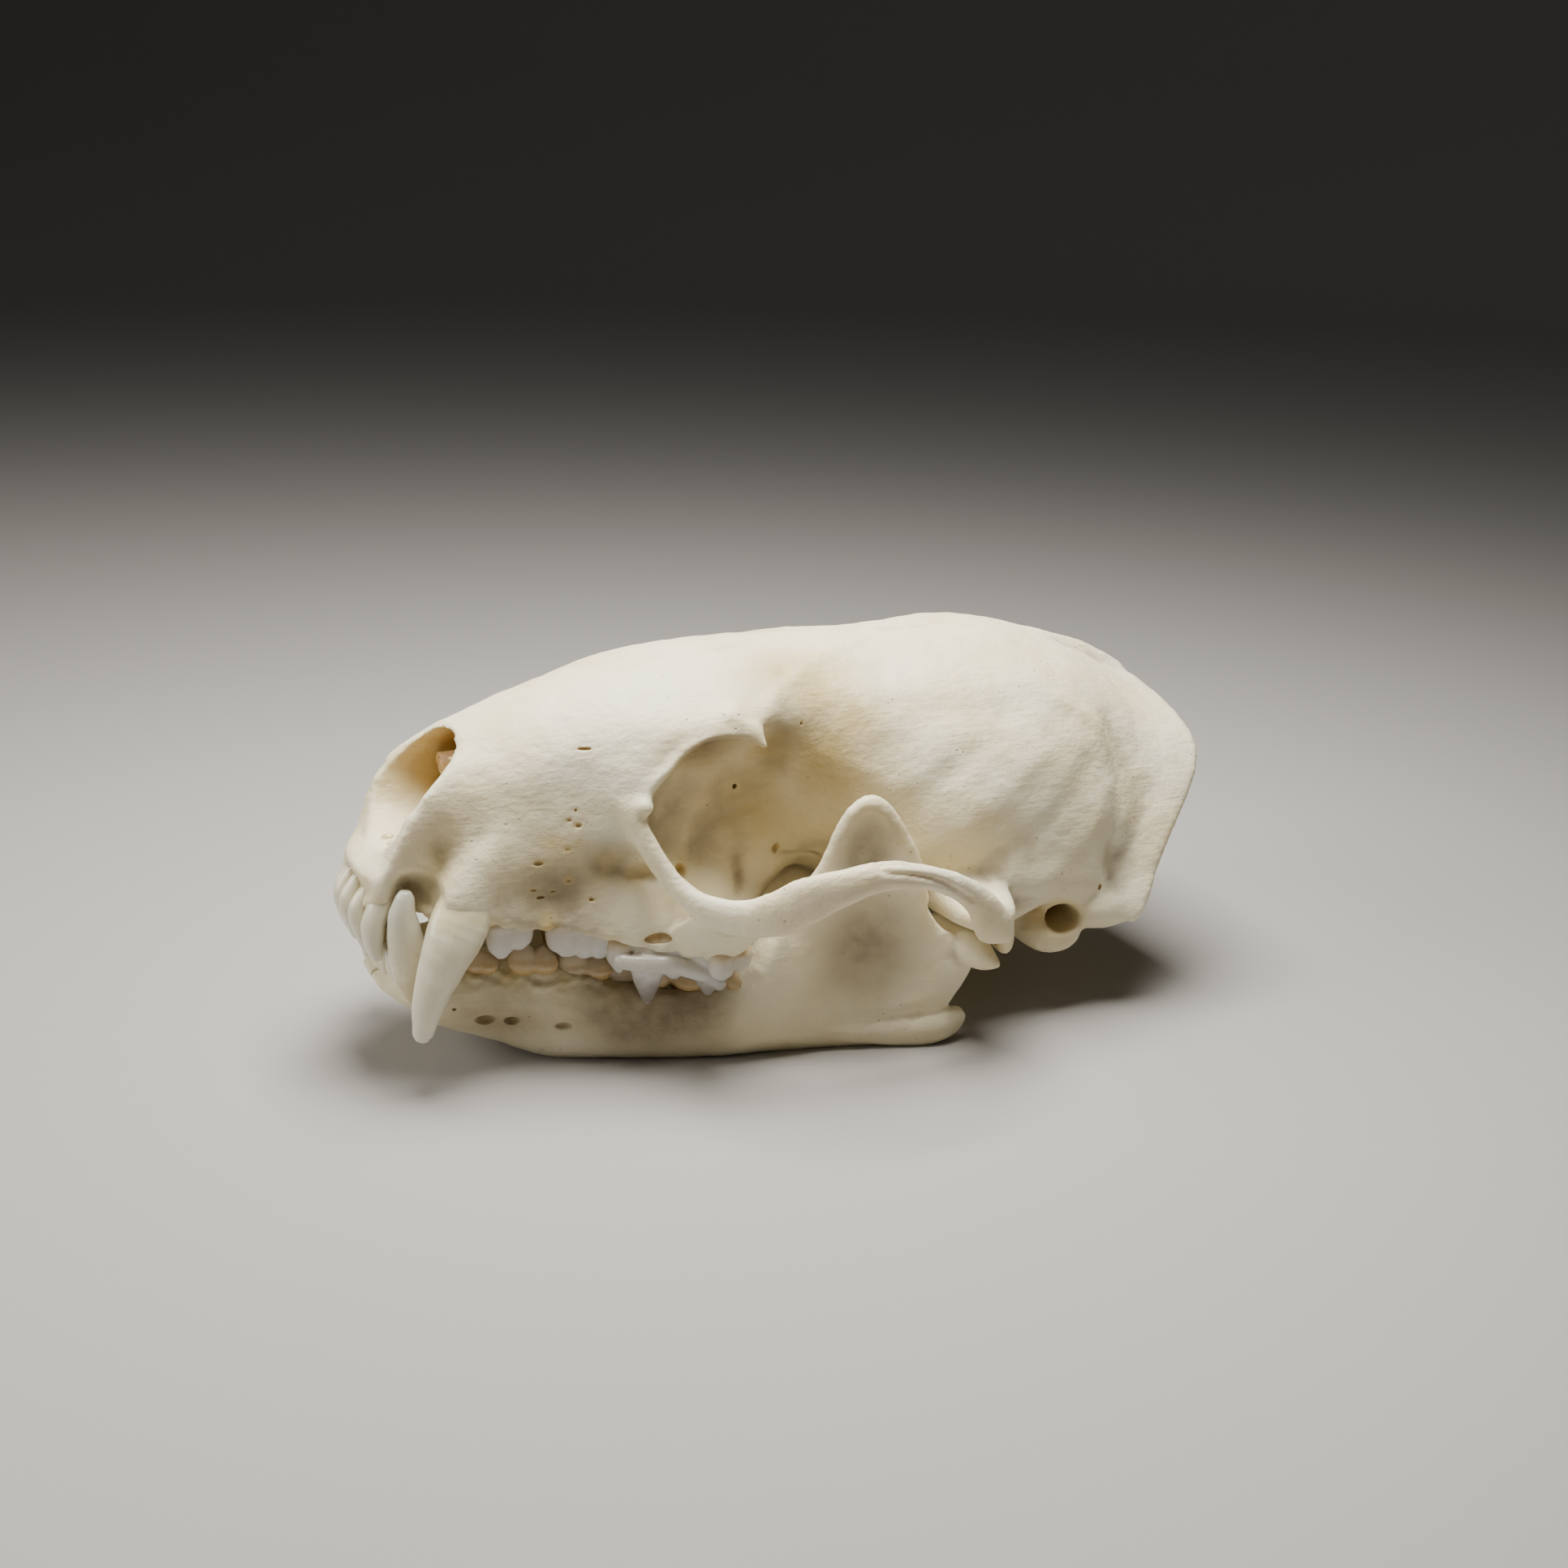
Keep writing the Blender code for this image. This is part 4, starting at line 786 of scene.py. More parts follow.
# %% Sizes of the front teeth
UPPER_CANINE = (((8.8, 5.3, 16.4), 2.4, 3.0), ((6.5, 7.3, 12.9), 3.2, 4.3), ((4.7, 7.9, 9.6), 2.7, 3.2),
                ((3.8, 7.8, 6.9), 2.1, 2.3), ((3.45, 7.6, 4.9), 1.3, 1.5))
UPPER_INCISORS = (
    (((3.8, 0.80, 17.0), 1.0, 1.2), ((1.9, 0.85, 15.7), 1.2, 1.3), ((0.3, 0.85, 13.6), 1.5, 1.6),
     ((0.3, 0.85, 12.0), 1.5, 1.3), ((0.5, 0.85, 10.6), 1.3, 0.7)),
    (((4.0, 2.10, 16.8), 1.0, 1.2), ((2.2, 2.25, 15.4), 1.2, 1.3), ((0.6, 2.35, 13.3), 1.5, 1.6),
     ((0.6, 2.35, 11.7), 1.5, 1.3), ((0.8, 2.30, 10.3), 1.3, 0.7)),
    (((4.4, 3.30, 16.4), 1.2, 1.5), ((2.6, 3.60, 14.9), 1.5, 1.7), ((1.3, 3.80, 12.9), 1.8, 1.8),
     ((1.1, 3.80, 11.2), 1.7, 1.5), ((1.3, 3.65, 9.9), 1.2, 0.9)),
)
LOWER_INCISORS = (
    (((3.8, 0.65, 5.6), 0.7, 1.2), ((2.4, 0.65, 8.0), 0.9, 1.2), ((2.0, 0.65, 9.8), 0.9, 0.7)),
    (((4.0, 1.65, 5.6), 0.8, 1.2), ((2.6, 1.65, 8.0), 1.0, 1.3), ((2.2, 1.65, 9.8), 1.0, 0.7)),
    (((4.4, 2.70, 5.6), 0.9, 1.3), ((2.9, 2.75, 8.0), 1.1, 1.3), ((2.5, 2.75, 9.6), 1.1, 0.7)),
)
print("incisors on each side:", len(UPPER_INCISORS), "above and", len(LOWER_INCISORS), "below")

# %% Sizes of the cheek teeth
CheekTooth = namedtuple("CheekTooth", "name neck turn shape cusps")
# (share of a cusp's height, share of its length and width)
SHARP = ((0.0, 0.92), (0.3, 1.0), (0.6, 0.84), (0.85, 0.5), (1.0, 0.24))
BLUNT = ((0.0, 0.92), (0.3, 1.0), (0.6, 0.97), (0.85, 0.82), (1.0, 0.5))
UPPER_CHEEK_TEETH = (
    CheekTooth("premolar_2", (10.1, 7.2, 12.7), 14, BLUNT, (
        (-0.5, 0.0, 2.8, 2.2, 1.4), (0.8, 0.0, 2.2, 2.2, 1.3))),
    CheekTooth("premolar_3", (15.2, 8.3, 12.2), 16, BLUNT, (
        (-0.9, 0.0, 2.5, 3.2, 1.7), (0.4, 0.0, 2.7, 3.0, 1.7), (1.5, 0.0, 2.8, 2.6, 1.6))),
    CheekTooth("premolar_4", (20.9, 10.2, 10.6), 17, SHARP, (
        (-3.1, 0.0, 2.6, 2.2, 1.7), (-1.0, 0.1, 5.2, 2.7, 1.6), (1.0, 0.2, 3.2, 3.8, 1.5),
        (3.5, 0.6, 4.5, 3.0, 1.5), (-2.8, -1.6, 1.7, 2.4, 2.4))),
    CheekTooth("molar_1", (25.4, 11.1, 9.7), 17, BLUNT, (
        (-0.2, 1.2, 2.2, 2.3, 2.6), (1.3, 0.9, 1.5, 1.9, 2.4), (0.3, -1.4, 1.9, 2.8, 3.6))),
)
# the smooth band round the outer foot of the shearing tooth
BAND = (((17.6, 10.1, 9.2), 0.9, 1.1), ((19.4, 10.9, 9.0), 1.1, 1.4), ((21.6, 11.5, 8.7), 1.1, 1.4),
        ((23.6, 12.1, 7.9), 1.1, 1.3), ((24.8, 12.5, 7.0), 0.9, 1.1))
LOWER_CHEEK_TEETH = (
    CheekTooth("premolar_2", (8.6, 4.6, 8.0), 24, SHARP, (
        (-0.3, 0.0, 1.7, 2.2, 1.4), (0.6, 0.0, 1.2, 1.8, 1.3))),
    CheekTooth("premolar_3", (12.3, 5.8, 7.8), 22, SHARP, (
        (-0.6, 0.0, 2.2, 2.4, 1.5), (0.9, 0.0, 1.7, 2.2, 1.4))),
    CheekTooth("premolar_4", (16.1, 6.6, 7.0), 20, SHARP, (
        (-0.8, 0.0, 2.6, 2.6, 1.6), (1.0, 0.0, 1.5, 2.4, 1.5))),
    CheekTooth("molar_1", (21.4, 7.4, 5.6), 18, SHARP, (
        (-2.7, 0.0, 3.0, 3.0, 1.9), (-0.2, 0.2, 4.0, 3.2, 2.0), (0.2, -0.9, 2.8, 2.0, 1.8),
        (2.9, 0.0, 1.3, 3.4, 2.8))),
    CheekTooth("molar_2", (27.2, 10.6, 5.9), 18, BLUNT, ((0.0, 0.0, 0.9, 2.6, 2.4),)),
)
print("cheek teeth on each side:", len(UPPER_CHEEK_TEETH), "above and", len(LOWER_CHEEK_TEETH), "below")

# %% Making the teeth
ROOT_DEPTH = 2.4
ROOT_TAPER = 0.5
ROOT_LEAN = 1.8
CROWN_HEIGHT = 4.8
TOOTH_VOXEL = 0.11
FRONT_TOOTH_CROWN = 0.72
FRONT_TOOTH_SMOOTHING = 4
CHEEK_TOOTH_SMOOTHING = 5
TOOTH_WAVES = ((1.6, 0.018, 9),)


def crown_share(tooth, neck, tip):
    """Stores how far each point of a tooth is from its neck to its tip, for its finish."""
    store(tooth, "crown", np.clip((table_points(tooth)[:, 2] - neck) / (tip - neck), -0.5, 1.0))
    return tooth


def front_tooth(name, stops, side):
    """A tapered front tooth, with faint ripples of growth."""
    tooth = fused(rod(name, stops, side, up=(1.0, 0.0, 0.0)), TOOTH_VOXEL, FRONT_TOOTH_SMOOTHING)
    points, normals = table_points(tooth), table_normals(tooth)
    move_points(tooth, points + normals * unevenness(points, TOOTH_WAVES)[:, None])
    top, bottom = stops[0][0][2], stops[-1][0][2]
    return crown_share(tooth, bottom + (top - bottom) * FRONT_TOOTH_CROWN, bottom)


def cheek_tooth(name, tooth, facing, side):
    """A cheek tooth whose cusps face up, where facing is 1, or down, where it is -1."""
    turn = math.radians(tooth.turn)
    along_jaw = np.array([math.cos(turn), math.sin(turn), 0.0])
    across_jaw = np.array([-math.sin(turn), math.cos(turn), 0.0])
    cusps = []
    for along, across, height, length, width in tooth.cusps:
        base = np.array(tooth.neck) + along * along_jaw + across * across_jaw
        root = base - (0.0, ROOT_LEAN, facing * ROOT_DEPTH)
        stops = [(root, width * ROOT_TAPER, length * ROOT_TAPER)]
        for share, size in tooth.shape:
            stops.append((base + (0.0, 0.0, facing * share * height), width * size, length * size))
        cusps.append(rod("cusp", stops, side, up=along_jaw))
    if name.startswith("upper_premolar_4"):
        cusps.append(rod("band", BAND, side))
    whole = fused(joined(name, cusps), TOOTH_VOXEL, CHEEK_TOOTH_SMOOTHING)
    return crown_share(whole, tooth.neck[2], tooth.neck[2] + facing * CROWN_HEIGHT)


teeth = []
for side, word in ((1, "right"), (-1, "left")):
    for row, canine, incisors, cheek_teeth, facing in (
        ("upper", UPPER_CANINE, UPPER_INCISORS, UPPER_CHEEK_TEETH, -1),
        ("lower", LOWER_CANINE, LOWER_INCISORS, LOWER_CHEEK_TEETH, 1),
    ):
        found = [front_tooth(f"{row}_canine_{word}", canine, side)]
        for number, stops in enumerate(incisors, 1):
            found.append(front_tooth(f"{row}_incisor_{number}_{word}", stops, side))
        found += [cheek_tooth(f"{row}_{tooth.name}_{word}", tooth, facing, side) for tooth in cheek_teeth]
        slot = "snout_bone" if row == "upper" else f"jaw_{word}_bone"
        teeth += [(tooth, slot) for tooth in found]
print(len(teeth), "teeth,", sum(triangles(tooth) for tooth, _ in teeth), "triangles")

# %% [markdown]
# ## Scrolls in the nose
#
# Behind the nostrils stand scrolls of paper-thin bone that warm the air. They repeat, so Geometry Nodes makes them:
# a spiral swept into a curled sheet, set in short columns on each side, each turned and sized a little differently.

# %% Scrolls in the nose
# the columns on each side: their distance from the midline, their lowest height and how many scrolls they hold
SCROLL_COLUMNS = ((1.3, 17.9, 4), (2.9, 18.6, 3))
SCROLL_FRONT = 13.2


def feed(links, socket, value):
    """Wires another node's output into a socket, or sets the socket's own number."""
    if isinstance(value, bpy.types.NodeSocket):
        links.new(value, socket)
    else:
        socket.default_value = value


def scroll_nodes(material):
    """A node group that fills one half of the nose with scrolls."""
    group = bpy.data.node_groups.new("nose_scrolls", "GeometryNodeTree")
    panel = group.interface
    panel.new_socket("Geometry", in_out="OUTPUT", socket_type="NodeSocketGeometry")
    panel.new_socket("Geometry", in_out="INPUT", socket_type="NodeSocketGeometry")
    for label, kind, value in (
        ("Count", "NodeSocketInt", 4), ("Spacing", "NodeSocketFloat", 0.0015),
        ("Radius", "NodeSocketFloat", 0.0009), ("Turns", "NodeSocketFloat", 1.6),
        ("Length", "NodeSocketFloat", 0.009), ("Thickness", "NodeSocketFloat", 0.00016),
        ("Seed", "NodeSocketInt", 1),
    ):
        panel.new_socket(label, in_out="INPUT", socket_type=kind).default_value = value
    nodes, links = group.nodes, group.links

    def node(kind, **inputs):
        made = nodes.new(kind)
        for label, value in inputs.items():
            feed(links, made.inputs[label.replace("_", " ")], value)
        return made

    given = nodes.new("NodeGroupInput").outputs
    spiral = node("GeometryNodeCurveSpiral", Resolution=28, Rotations=given["Turns"], Start_Radius=0.00018,
                  End_Radius=given["Radius"], Height=0.0)
    upright = nodes.new("GeometryNodeSetCurveNormal")
    upright.mode = "Z_UP"
    links.new(spiral.outputs["Curve"], upright.inputs["Curve"])
    strip = node("GeometryNodeCurvePrimitiveQuadrilateral", Width=given["Thickness"], Height=given["Length"])
    sheet = node("GeometryNodeCurveToMesh", Curve=upright.outputs["Curve"], Profile_Curve=strip.outputs["Curve"])
    sheet.inputs["Fill Caps"].default_value = True
    lying = node("GeometryNodeTransform", Geometry=sheet.outputs["Mesh"], Rotation=(0.0, math.pi / 2, 0.0))
    offset = node("ShaderNodeCombineXYZ", Z=given["Spacing"])
    column = node("GeometryNodeMeshLine", Count=given["Count"], Offset=offset.outputs["Vector"])
    size = node("FunctionNodeRandomValue", Seed=given["Seed"])
    turn = node("FunctionNodeRandomValue", Seed=given["Seed"])
    for random, low, high in ((size, 0.75, 1.15), (turn, 0.0, 2 * math.pi)):
        lowest, highest = [s for s in random.inputs if s.type == "VALUE" and s.name in ("Min", "Max")]
        lowest.default_value, highest.default_value = low, high
    size_out, turn_out = (next(s for s in made.outputs if s.type == "VALUE") for made in (size, turn))
    rotation = node("ShaderNodeCombineXYZ", X=turn_out)
    placed = node("GeometryNodeInstanceOnPoints", Points=column.outputs["Mesh"],
                  Instance=lying.outputs["Geometry"], Rotation=rotation.outputs["Vector"], Scale=size_out)
    solid = node("GeometryNodeRealizeInstances", Geometry=placed.outputs["Instances"])
    finished = node("GeometryNodeSetMaterial", Geometry=solid.outputs["Geometry"], Material=material)
    links.new(finished.outputs["Geometry"], nodes.new("NodeGroupOutput").inputs["Geometry"])
    return group


def scrolls(name, material, start, **given):
    """One column of scrolls as a plain mesh, standing at a point on the table."""
    piece = added(name, bpy.data.meshes.new(name))
    grow = piece.modifiers.new("scrolls", "NODES")
    grow.node_group = scroll_nodes(material)
    items = grow.node_group.interface.items_tree
    sockets = {item.name: item.identifier for item in items if item.in_out == "INPUT"}
    for label, value in given.items():
        grow[sockets[label]] = value
    applied(piece)
    piece.data.transform(Matrix.Translation(metres(start).tolist()))
    return piece


# %% [markdown]
# ## Stains and painted shade on the bone
#
# Cleaning bleaches what it can reach. Canals, tooth sockets and thin walls stay ochre or tan. Each point
# stores three numbers for the finish: how deep it lies in a hollow, with painted shade added, how tan it is and how
# ochre it is. The hollows are measured on the mesh itself, against the same skin smoothed, and the finish browns
# them as painted shade and makes convex ridges paler. A few broad places where shade falls are browned the same
# way, as painted shade, and some of the tan is painted shade too. Every stain and every patch of painted shade is a
# blob, given as its centre, how far it reaches and its strength.

# %% Stains and painted shade on the bone
# tan on the temple; the blobs under the brow, in the eye socket and on the cheek are painted shade, in tan
TAN_AND_PAINTED_SHADE = (
    ((33.4, 6.0, 28.4), (4.0, 3.8, 2.8), 0.9), ((36.8, 9.2, 25.4), (3.0, 3.0, 3.2), 0.85),
    ((34.8, 7.4, 27.2), (4.2, 5.0, 3.0), 0.9), ((34.4, 9.2, 22.6), (3.6, 4.0, 4.0), 1.0),
    ((29.4, 7.0, 19.0), (4.6, 3.0, 4.2), 0.85), ((30.8, 8.6, 23.4), (2.4, 3.0, 2.4), 1.0),
    ((24.8, 8.4, 23.8), (3.4, 3.0, 2.2), 0.8), ((42.6, 13.0, 12.4), (2.4, 2.0, 2.0), 0.3),
    ((13.2, 8.6, 15.4), (4.0, 2.0, 3.0), 0.35), ((6.6, 6.0, 19.6), (1.6, 1.6, 3.0), 0.5),
)
OCHRE = (
    ((5.2, 6.3, 16.6), (1.5, 1.8, 2.6), 0.55), ((17.2, 9.4, 16.4), (1.5, 1.6, 1.3), 0.5),
    ((12.9, 8.0, 12.1), (0.7, 1.4, 1.0), 1.0), ((9.0, 7.2, 12.4), (0.8, 1.2, 0.9), 0.6),
    ((17.2, 9.4, 11.0), (0.7, 1.2, 0.8), 0.5), ((53.4, 13.6, 8.4), (2.0, 3.4, 1.7), 0.9),
    ((23.0, 9.6, 14.9), (1.0, 1.4, 0.9), 0.7), ((20.0, 9.4, 15.6), (2.6, 1.0, 0.8), 0.6),
    ((66.0, 0.0, 12.8), (6.0, 4.6, 3.6), 0.5), ((30.6, 7.1, 16.6), (1.0, 1.5, 0.6), 0.35),
)
# painted shade where shade falls: under the brow and behind it, on the cheek, at the nerve's opening, by the ear
# and the jaw joint, and behind the eye socket's floor
SHADE = (
    ((25.4, 8.8, 24.8), (3.0, 2.4, 1.3), 1.5), ((31.2, 8.8, 24.4), (1.8, 2.4, 2.2), 0.7),
    ((13.6, 8.6, 14.2), (4.2, 2.6, 3.3), 1.15), ((17.2, 9.4, 16.4), (2.0, 1.8, 1.7), 1.5),
    ((46.6, 14.8, 9.4), (2.0, 1.6, 1.6), 0.5), ((50.6, 13.4, 8.0), (1.6, 1.6, 1.2), 0.6),
    ((30.6, 6.6, 11.6), (2.6, 2.0, 1.6), 0.8), ((45.0, 13.0, 9.6), (1.6, 2.4, 1.2), 0.6),
)
# painted shade, in tan: in the chewing muscle's hollow, below the shearing teeth and on the chin
JAW_TAN_PAINTED_SHADE = (
    ((35.6, 15.0, 8.0), (3.0, 3.0, 3.6), 0.35), ((19.0, 9.8, 4.6), (6.0, 3.0, 2.4), 0.45),
    ((10.0, 6.2, 3.6), (4.0, 2.0, 1.2), 0.3),
)
JAW_OCHRE = (
    ((10.8, 5.6, 7.4), (1.2, 1.6, 0.9), 0.7), ((14.2, 6.9, 7.0), (0.9, 1.6, 0.8), 0.6),
    ((7.6, 5.0, 7.8), (1.0, 1.6, 1.0), 0.5), ((18.2, 8.0, 6.0), (1.0, 1.6, 0.7), 0.3),
)
# painted shade: on the chin, below the shearing teeth, in the chewing muscle's hollow and in the blade's hollow
JAW_SHADE = (
    ((9.0, 6.4, 4.0), (6.0, 3.0, 3.0), 0.9), ((19.4, 10.2, 4.2), (7.0, 3.4, 3.0), 1.5),
    ((36.0, 15.2, 8.6), (3.6, 3.0, 4.6), 1.2), ((35.4, 15.4, 16.8), (2.2, 2.4, 3.0), 1.2),
)

# %% Storing the colours
HOLLOW_PASSES = 20
HOLLOW_DEPTH = 0.25
NOSE_AXIS_HEIGHT = 21.3
NOSE_FACING = 0.5
NOSE_REACH = 5.0
NOSE_END = 21
# where the nose's colour starts, and over what length it deepens
NOSE_FADE = (3.0, 6.0)
# how much deeper than its pit a dark blob lies and how far it reaches, as shares of the pit, and its strength: an
# ochre stain on the cranium, painted shade on the jaw
PIT_SINK, PIT_SIZE, PIT_STRENGTH = 0.7, 1.1, 0.8


def hollowness(piece, passes):
    """How far each point lies below the smoothed skin round it, in millimetres."""
    points = table_points(piece)
    smooth = evened(piece, points, passes, 1.0)
    return np.sum((smooth - points) * table_normals(piece), axis=1)


def inside_nose(points, normals):
    """1 on the walls of the nasal cavity, which face its axis, and 0 elsewhere."""
    axis = points * (1.0, 0.0, 0.0) + (0.0, 0.0, NOSE_AXIS_HEIGHT)
    facing = np.sum((axis - points) * normals, axis=1) > NOSE_FACING
    close = np.linalg.norm((points - axis)[:, 1:], axis=1) < NOSE_REACH
    fade_from, fade_over = NOSE_FADE
    return (facing & close & (points[:, 0] < NOSE_END)) * np.clip((points[:, 0] - fade_from) / fade_over, 0.0, 1.0)


def pit_stains_and_shade(pores):
    """A dark blob at the bottom of each pore: an ochre stain on the cranium, painted shade on the jaw."""
    return tuple((np.array(centre) - (0.0, PIT_SINK * radii[1], 0.0), np.array(radii) * PIT_SIZE, PIT_STRENGTH)
                 for centre, radii in pores)


for piece, tan, ochre, shade in (
    (cranium, TAN_AND_PAINTED_SHADE, OCHRE + pit_stains_and_shade(CRANIUM_PORES), SHADE),
    (mandibles[1], JAW_TAN_PAINTED_SHADE, JAW_OCHRE, JAW_SHADE + pit_stains_and_shade(JAW_PORES)),
    (mandibles[-1], JAW_TAN_PAINTED_SHADE, JAW_OCHRE, JAW_SHADE + pit_stains_and_shade(JAW_PORES)),
):
    points, normals = table_points(piece), table_normals(piece)
    deep = hollowness(piece, HOLLOW_PASSES)
    # the measured hollows and the shade blobs, browned in the finish as painted shade; ridges fall below zero
    store(piece, "hollow", np.clip(np.maximum(deep / HOLLOW_DEPTH, blobs(points, shade)), -1.0, 1.0))
    store(piece, "tan", blobs(points, tan))
    stain = blobs(points, ochre)
    if piece is cranium:
        stain = np.maximum(stain, inside_nose(points, normals))
    store(piece, "ochre", stain)
    print(piece.name, "deepest hollow", round(float(deep.max()), 2), "mm")

# %% [markdown]
# ## Dry bone
#
# Dry bone is chalky ivory with a faint sheen, and a little light sinks into it. Broad noise shifts its warmth, long
# thin noise gives the grain, and small round cells make the pinholes of worn bone. The stored numbers brown the
# hollows and the broad shade blobs as painted shade, make the ridges paler and tint the stains. All textures read
# the object's own coordinates in millimetres.

# %% Wiring a material
def new_material(name, **settings):
    """A Principled material, with numbers set on the shader's own sockets."""
    material = bpy.data.materials.new(name)
    material.use_nodes = True
    shader = material.node_tree.nodes["Principled BSDF"]
    for label, value in settings.items():
        shader.inputs[label.replace("_", " ")].default_value = value
    return material


class Graph:
    """Short calls for wiring one material's nodes."""

    def __init__(self, material):
        self.tree = material.node_tree
        self.shader = self.tree.nodes["Principled BSDF"]
        place = self.add("ShaderNodeTexCoord").outputs["Object"]
        self.mm = self.times(place, (1 / MM,) * 3)

    def add(self, kind, inputs=None, **settings):
        node = self.tree.nodes.new(kind)
        for label, value in settings.items():
            setattr(node, label, value)
        for label, value in (inputs or {}).items():
            feed(self.tree.links, node.inputs[label], value)
        return node

    def times(self, vector, factors):
        return self.add("ShaderNodeVectorMath", {0: vector, 1: factors}, operation="MULTIPLY").outputs["Vector"]

    def noise(self, size, detail=3.0, stretch=(1.0, 1.0, 1.0)):
        """Noise about that many millimetres across, stretched along an axis where stretch is above 1."""
        inputs = {"Vector": self.times(self.mm, tuple(1 / s for s in stretch)), "Scale": 1 / size, "Detail": detail}
        return self.add("ShaderNodeTexNoise", inputs).outputs["Fac"]

    def stored(self, label):
        """A number stored on the points."""
        return self.add("ShaderNodeAttribute", attribute_name=label).outputs["Fac"]

    def fit(self, value, low, high, to_low=0.0, to_high=1.0):
        """The value carried from one range to another, and held there."""
        inputs = {"Value": value, "From Min": low, "From Max": high, "To Min": to_low, "To Max": to_high}
        return self.add("ShaderNodeMapRange", inputs).outputs["Result"]

    def math(self, operation, first, second):
        return self.add("ShaderNodeMath", {0: first, 1: second}, operation=operation).outputs[0]

    def mix(self, share, first, second):
        """One colour over another by a share."""
        return self.add("ShaderNodeMix", {0: share, 6: first, 7: second}, data_type="RGBA").outputs[2]

    def bump(self, height, depth, under=None):
        """Relief of that many millimetres."""
        inputs = {"Height": height, "Distance": depth * MM, "Strength": 1.0}
        if under:
            inputs["Normal"] = under
        return self.add("ShaderNodeBump", inputs).outputs["Normal"]

    def finish(self, **links):
        """Wires the results into the shader."""
        for label, socket in links.items():
            self.tree.links.new(socket, self.shader.inputs[label.replace("_", " ")])


# %% Dry bone
IVORY = (0.82, 0.71, 0.45, 1.0)
CHALK = (0.87, 0.80, 0.59, 1.0)
WARM = (0.74, 0.59, 0.30, 1.0)
# the brown of painted shade, in hollows and where shade falls
PAINTED_SHADE_BROWN = (0.25, 0.19, 0.11, 1.0)
TAN_COLOUR = (0.55, 0.40, 0.15, 1.0)
OCHRE_COLOUR = (0.68, 0.50, 0.18, 1.0)
PINHOLE = (0.28, 0.21, 0.13, 1.0)


def bone_material(name):
    """Dry bone, from broad clouds of warmth down to its grain and pinholes."""
    material = new_material(name, Subsurface_Weight=0.12, Subsurface_Scale=0.0012, Specular_IOR_Level=0.4)
    material.node_tree.nodes["Principled BSDF"].inputs["Subsurface Radius"].default_value = (1.0, 0.6, 0.35)
    g = Graph(material)
    colour = g.mix(g.fit(g.noise(9.0), 0.35, 0.65), IVORY, CHALK)
    colour = g.mix(g.fit(g.noise(4.0), 0.5, 0.72, 0.0, 0.35), colour, WARM)
    grain = g.noise(0.35, 4.0, stretch=(7.0, 1.0, 1.0))
    colour = g.mix(g.fit(grain, 0.5, 0.75, 0.0, 0.12), colour, WARM)
    hollow = g.stored("hollow")
    # convex ridges are paler, and the tan tint is uneven
    colour = g.mix(g.fit(hollow, -0.1, -0.6, 0.0, 0.5), colour, CHALK)
    tan = g.math("MULTIPLY", g.stored("tan"), g.fit(g.noise(2.2, 5.0), 0.3, 0.6, 0.7, 1.0))
    colour = g.mix(tan, colour, TAN_COLOUR)
    # painted shade: the hollows and the shade blobs are browned, unevenly
    shade = g.math("MULTIPLY", g.fit(hollow, 0.1, 1.0, 0.0, 0.85), g.fit(g.noise(1.6, 5.0), 0.35, 0.6, 0.75, 1.0))
    colour = g.mix(shade, colour, PAINTED_SHADE_BROWN)
    ochre = g.math("MULTIPLY", g.stored("ochre"), g.fit(g.noise(1.4, 5.0), 0.3, 0.6, 0.6, 1.0))
    colour = g.mix(ochre, colour, OCHRE_COLOUR)
    # pinholes come in patches
    cells = g.add("ShaderNodeTexVoronoi", {"Vector": g.mm, "Scale": 1.1}).outputs["Distance"]
    holes = g.math("MULTIPLY", g.fit(cells, 0.13, 0.06), g.fit(g.noise(5.0), 0.5, 0.6))
    colour = g.mix(g.math("MULTIPLY", holes, 0.55), colour, PINHOLE)
    # relief too fine for the mesh
    relief = g.bump(g.noise(1.8, 4.0), 0.12)
    relief = g.bump(g.noise(0.5, 5.0), 0.06, relief)
    relief = g.bump(grain, 0.05, relief)
    relief = g.bump(g.math("SUBTRACT", 1.0, holes), 0.05, relief)
    rough = g.fit(g.noise(1.1, 4.0), 0.3, 0.7, 0.46, 0.62)
    g.finish(Base_Color=colour, Roughness=rough, Normal=relief)
    return material


bone = bone_material("dry_bone")
print("dry bone has", len(bone.node_tree.nodes), "nodes")

# %% [markdown]
# ## Enamel
#
# The canines and incisors are creamy, with a yellower root above the enamel's edge. The upper cheek teeth are milky
# and darken at their longest cusps, which is partly clear enamel and partly painted shade. The lower ones are
# stained from the root up and darker all over, which is painted shade under the upper teeth. All are glossier than
# bone, with fine lines of growth along the crown.

# %% Enamel
GROWTH_LINE = (0.72, 0.62, 0.42, 1.0)


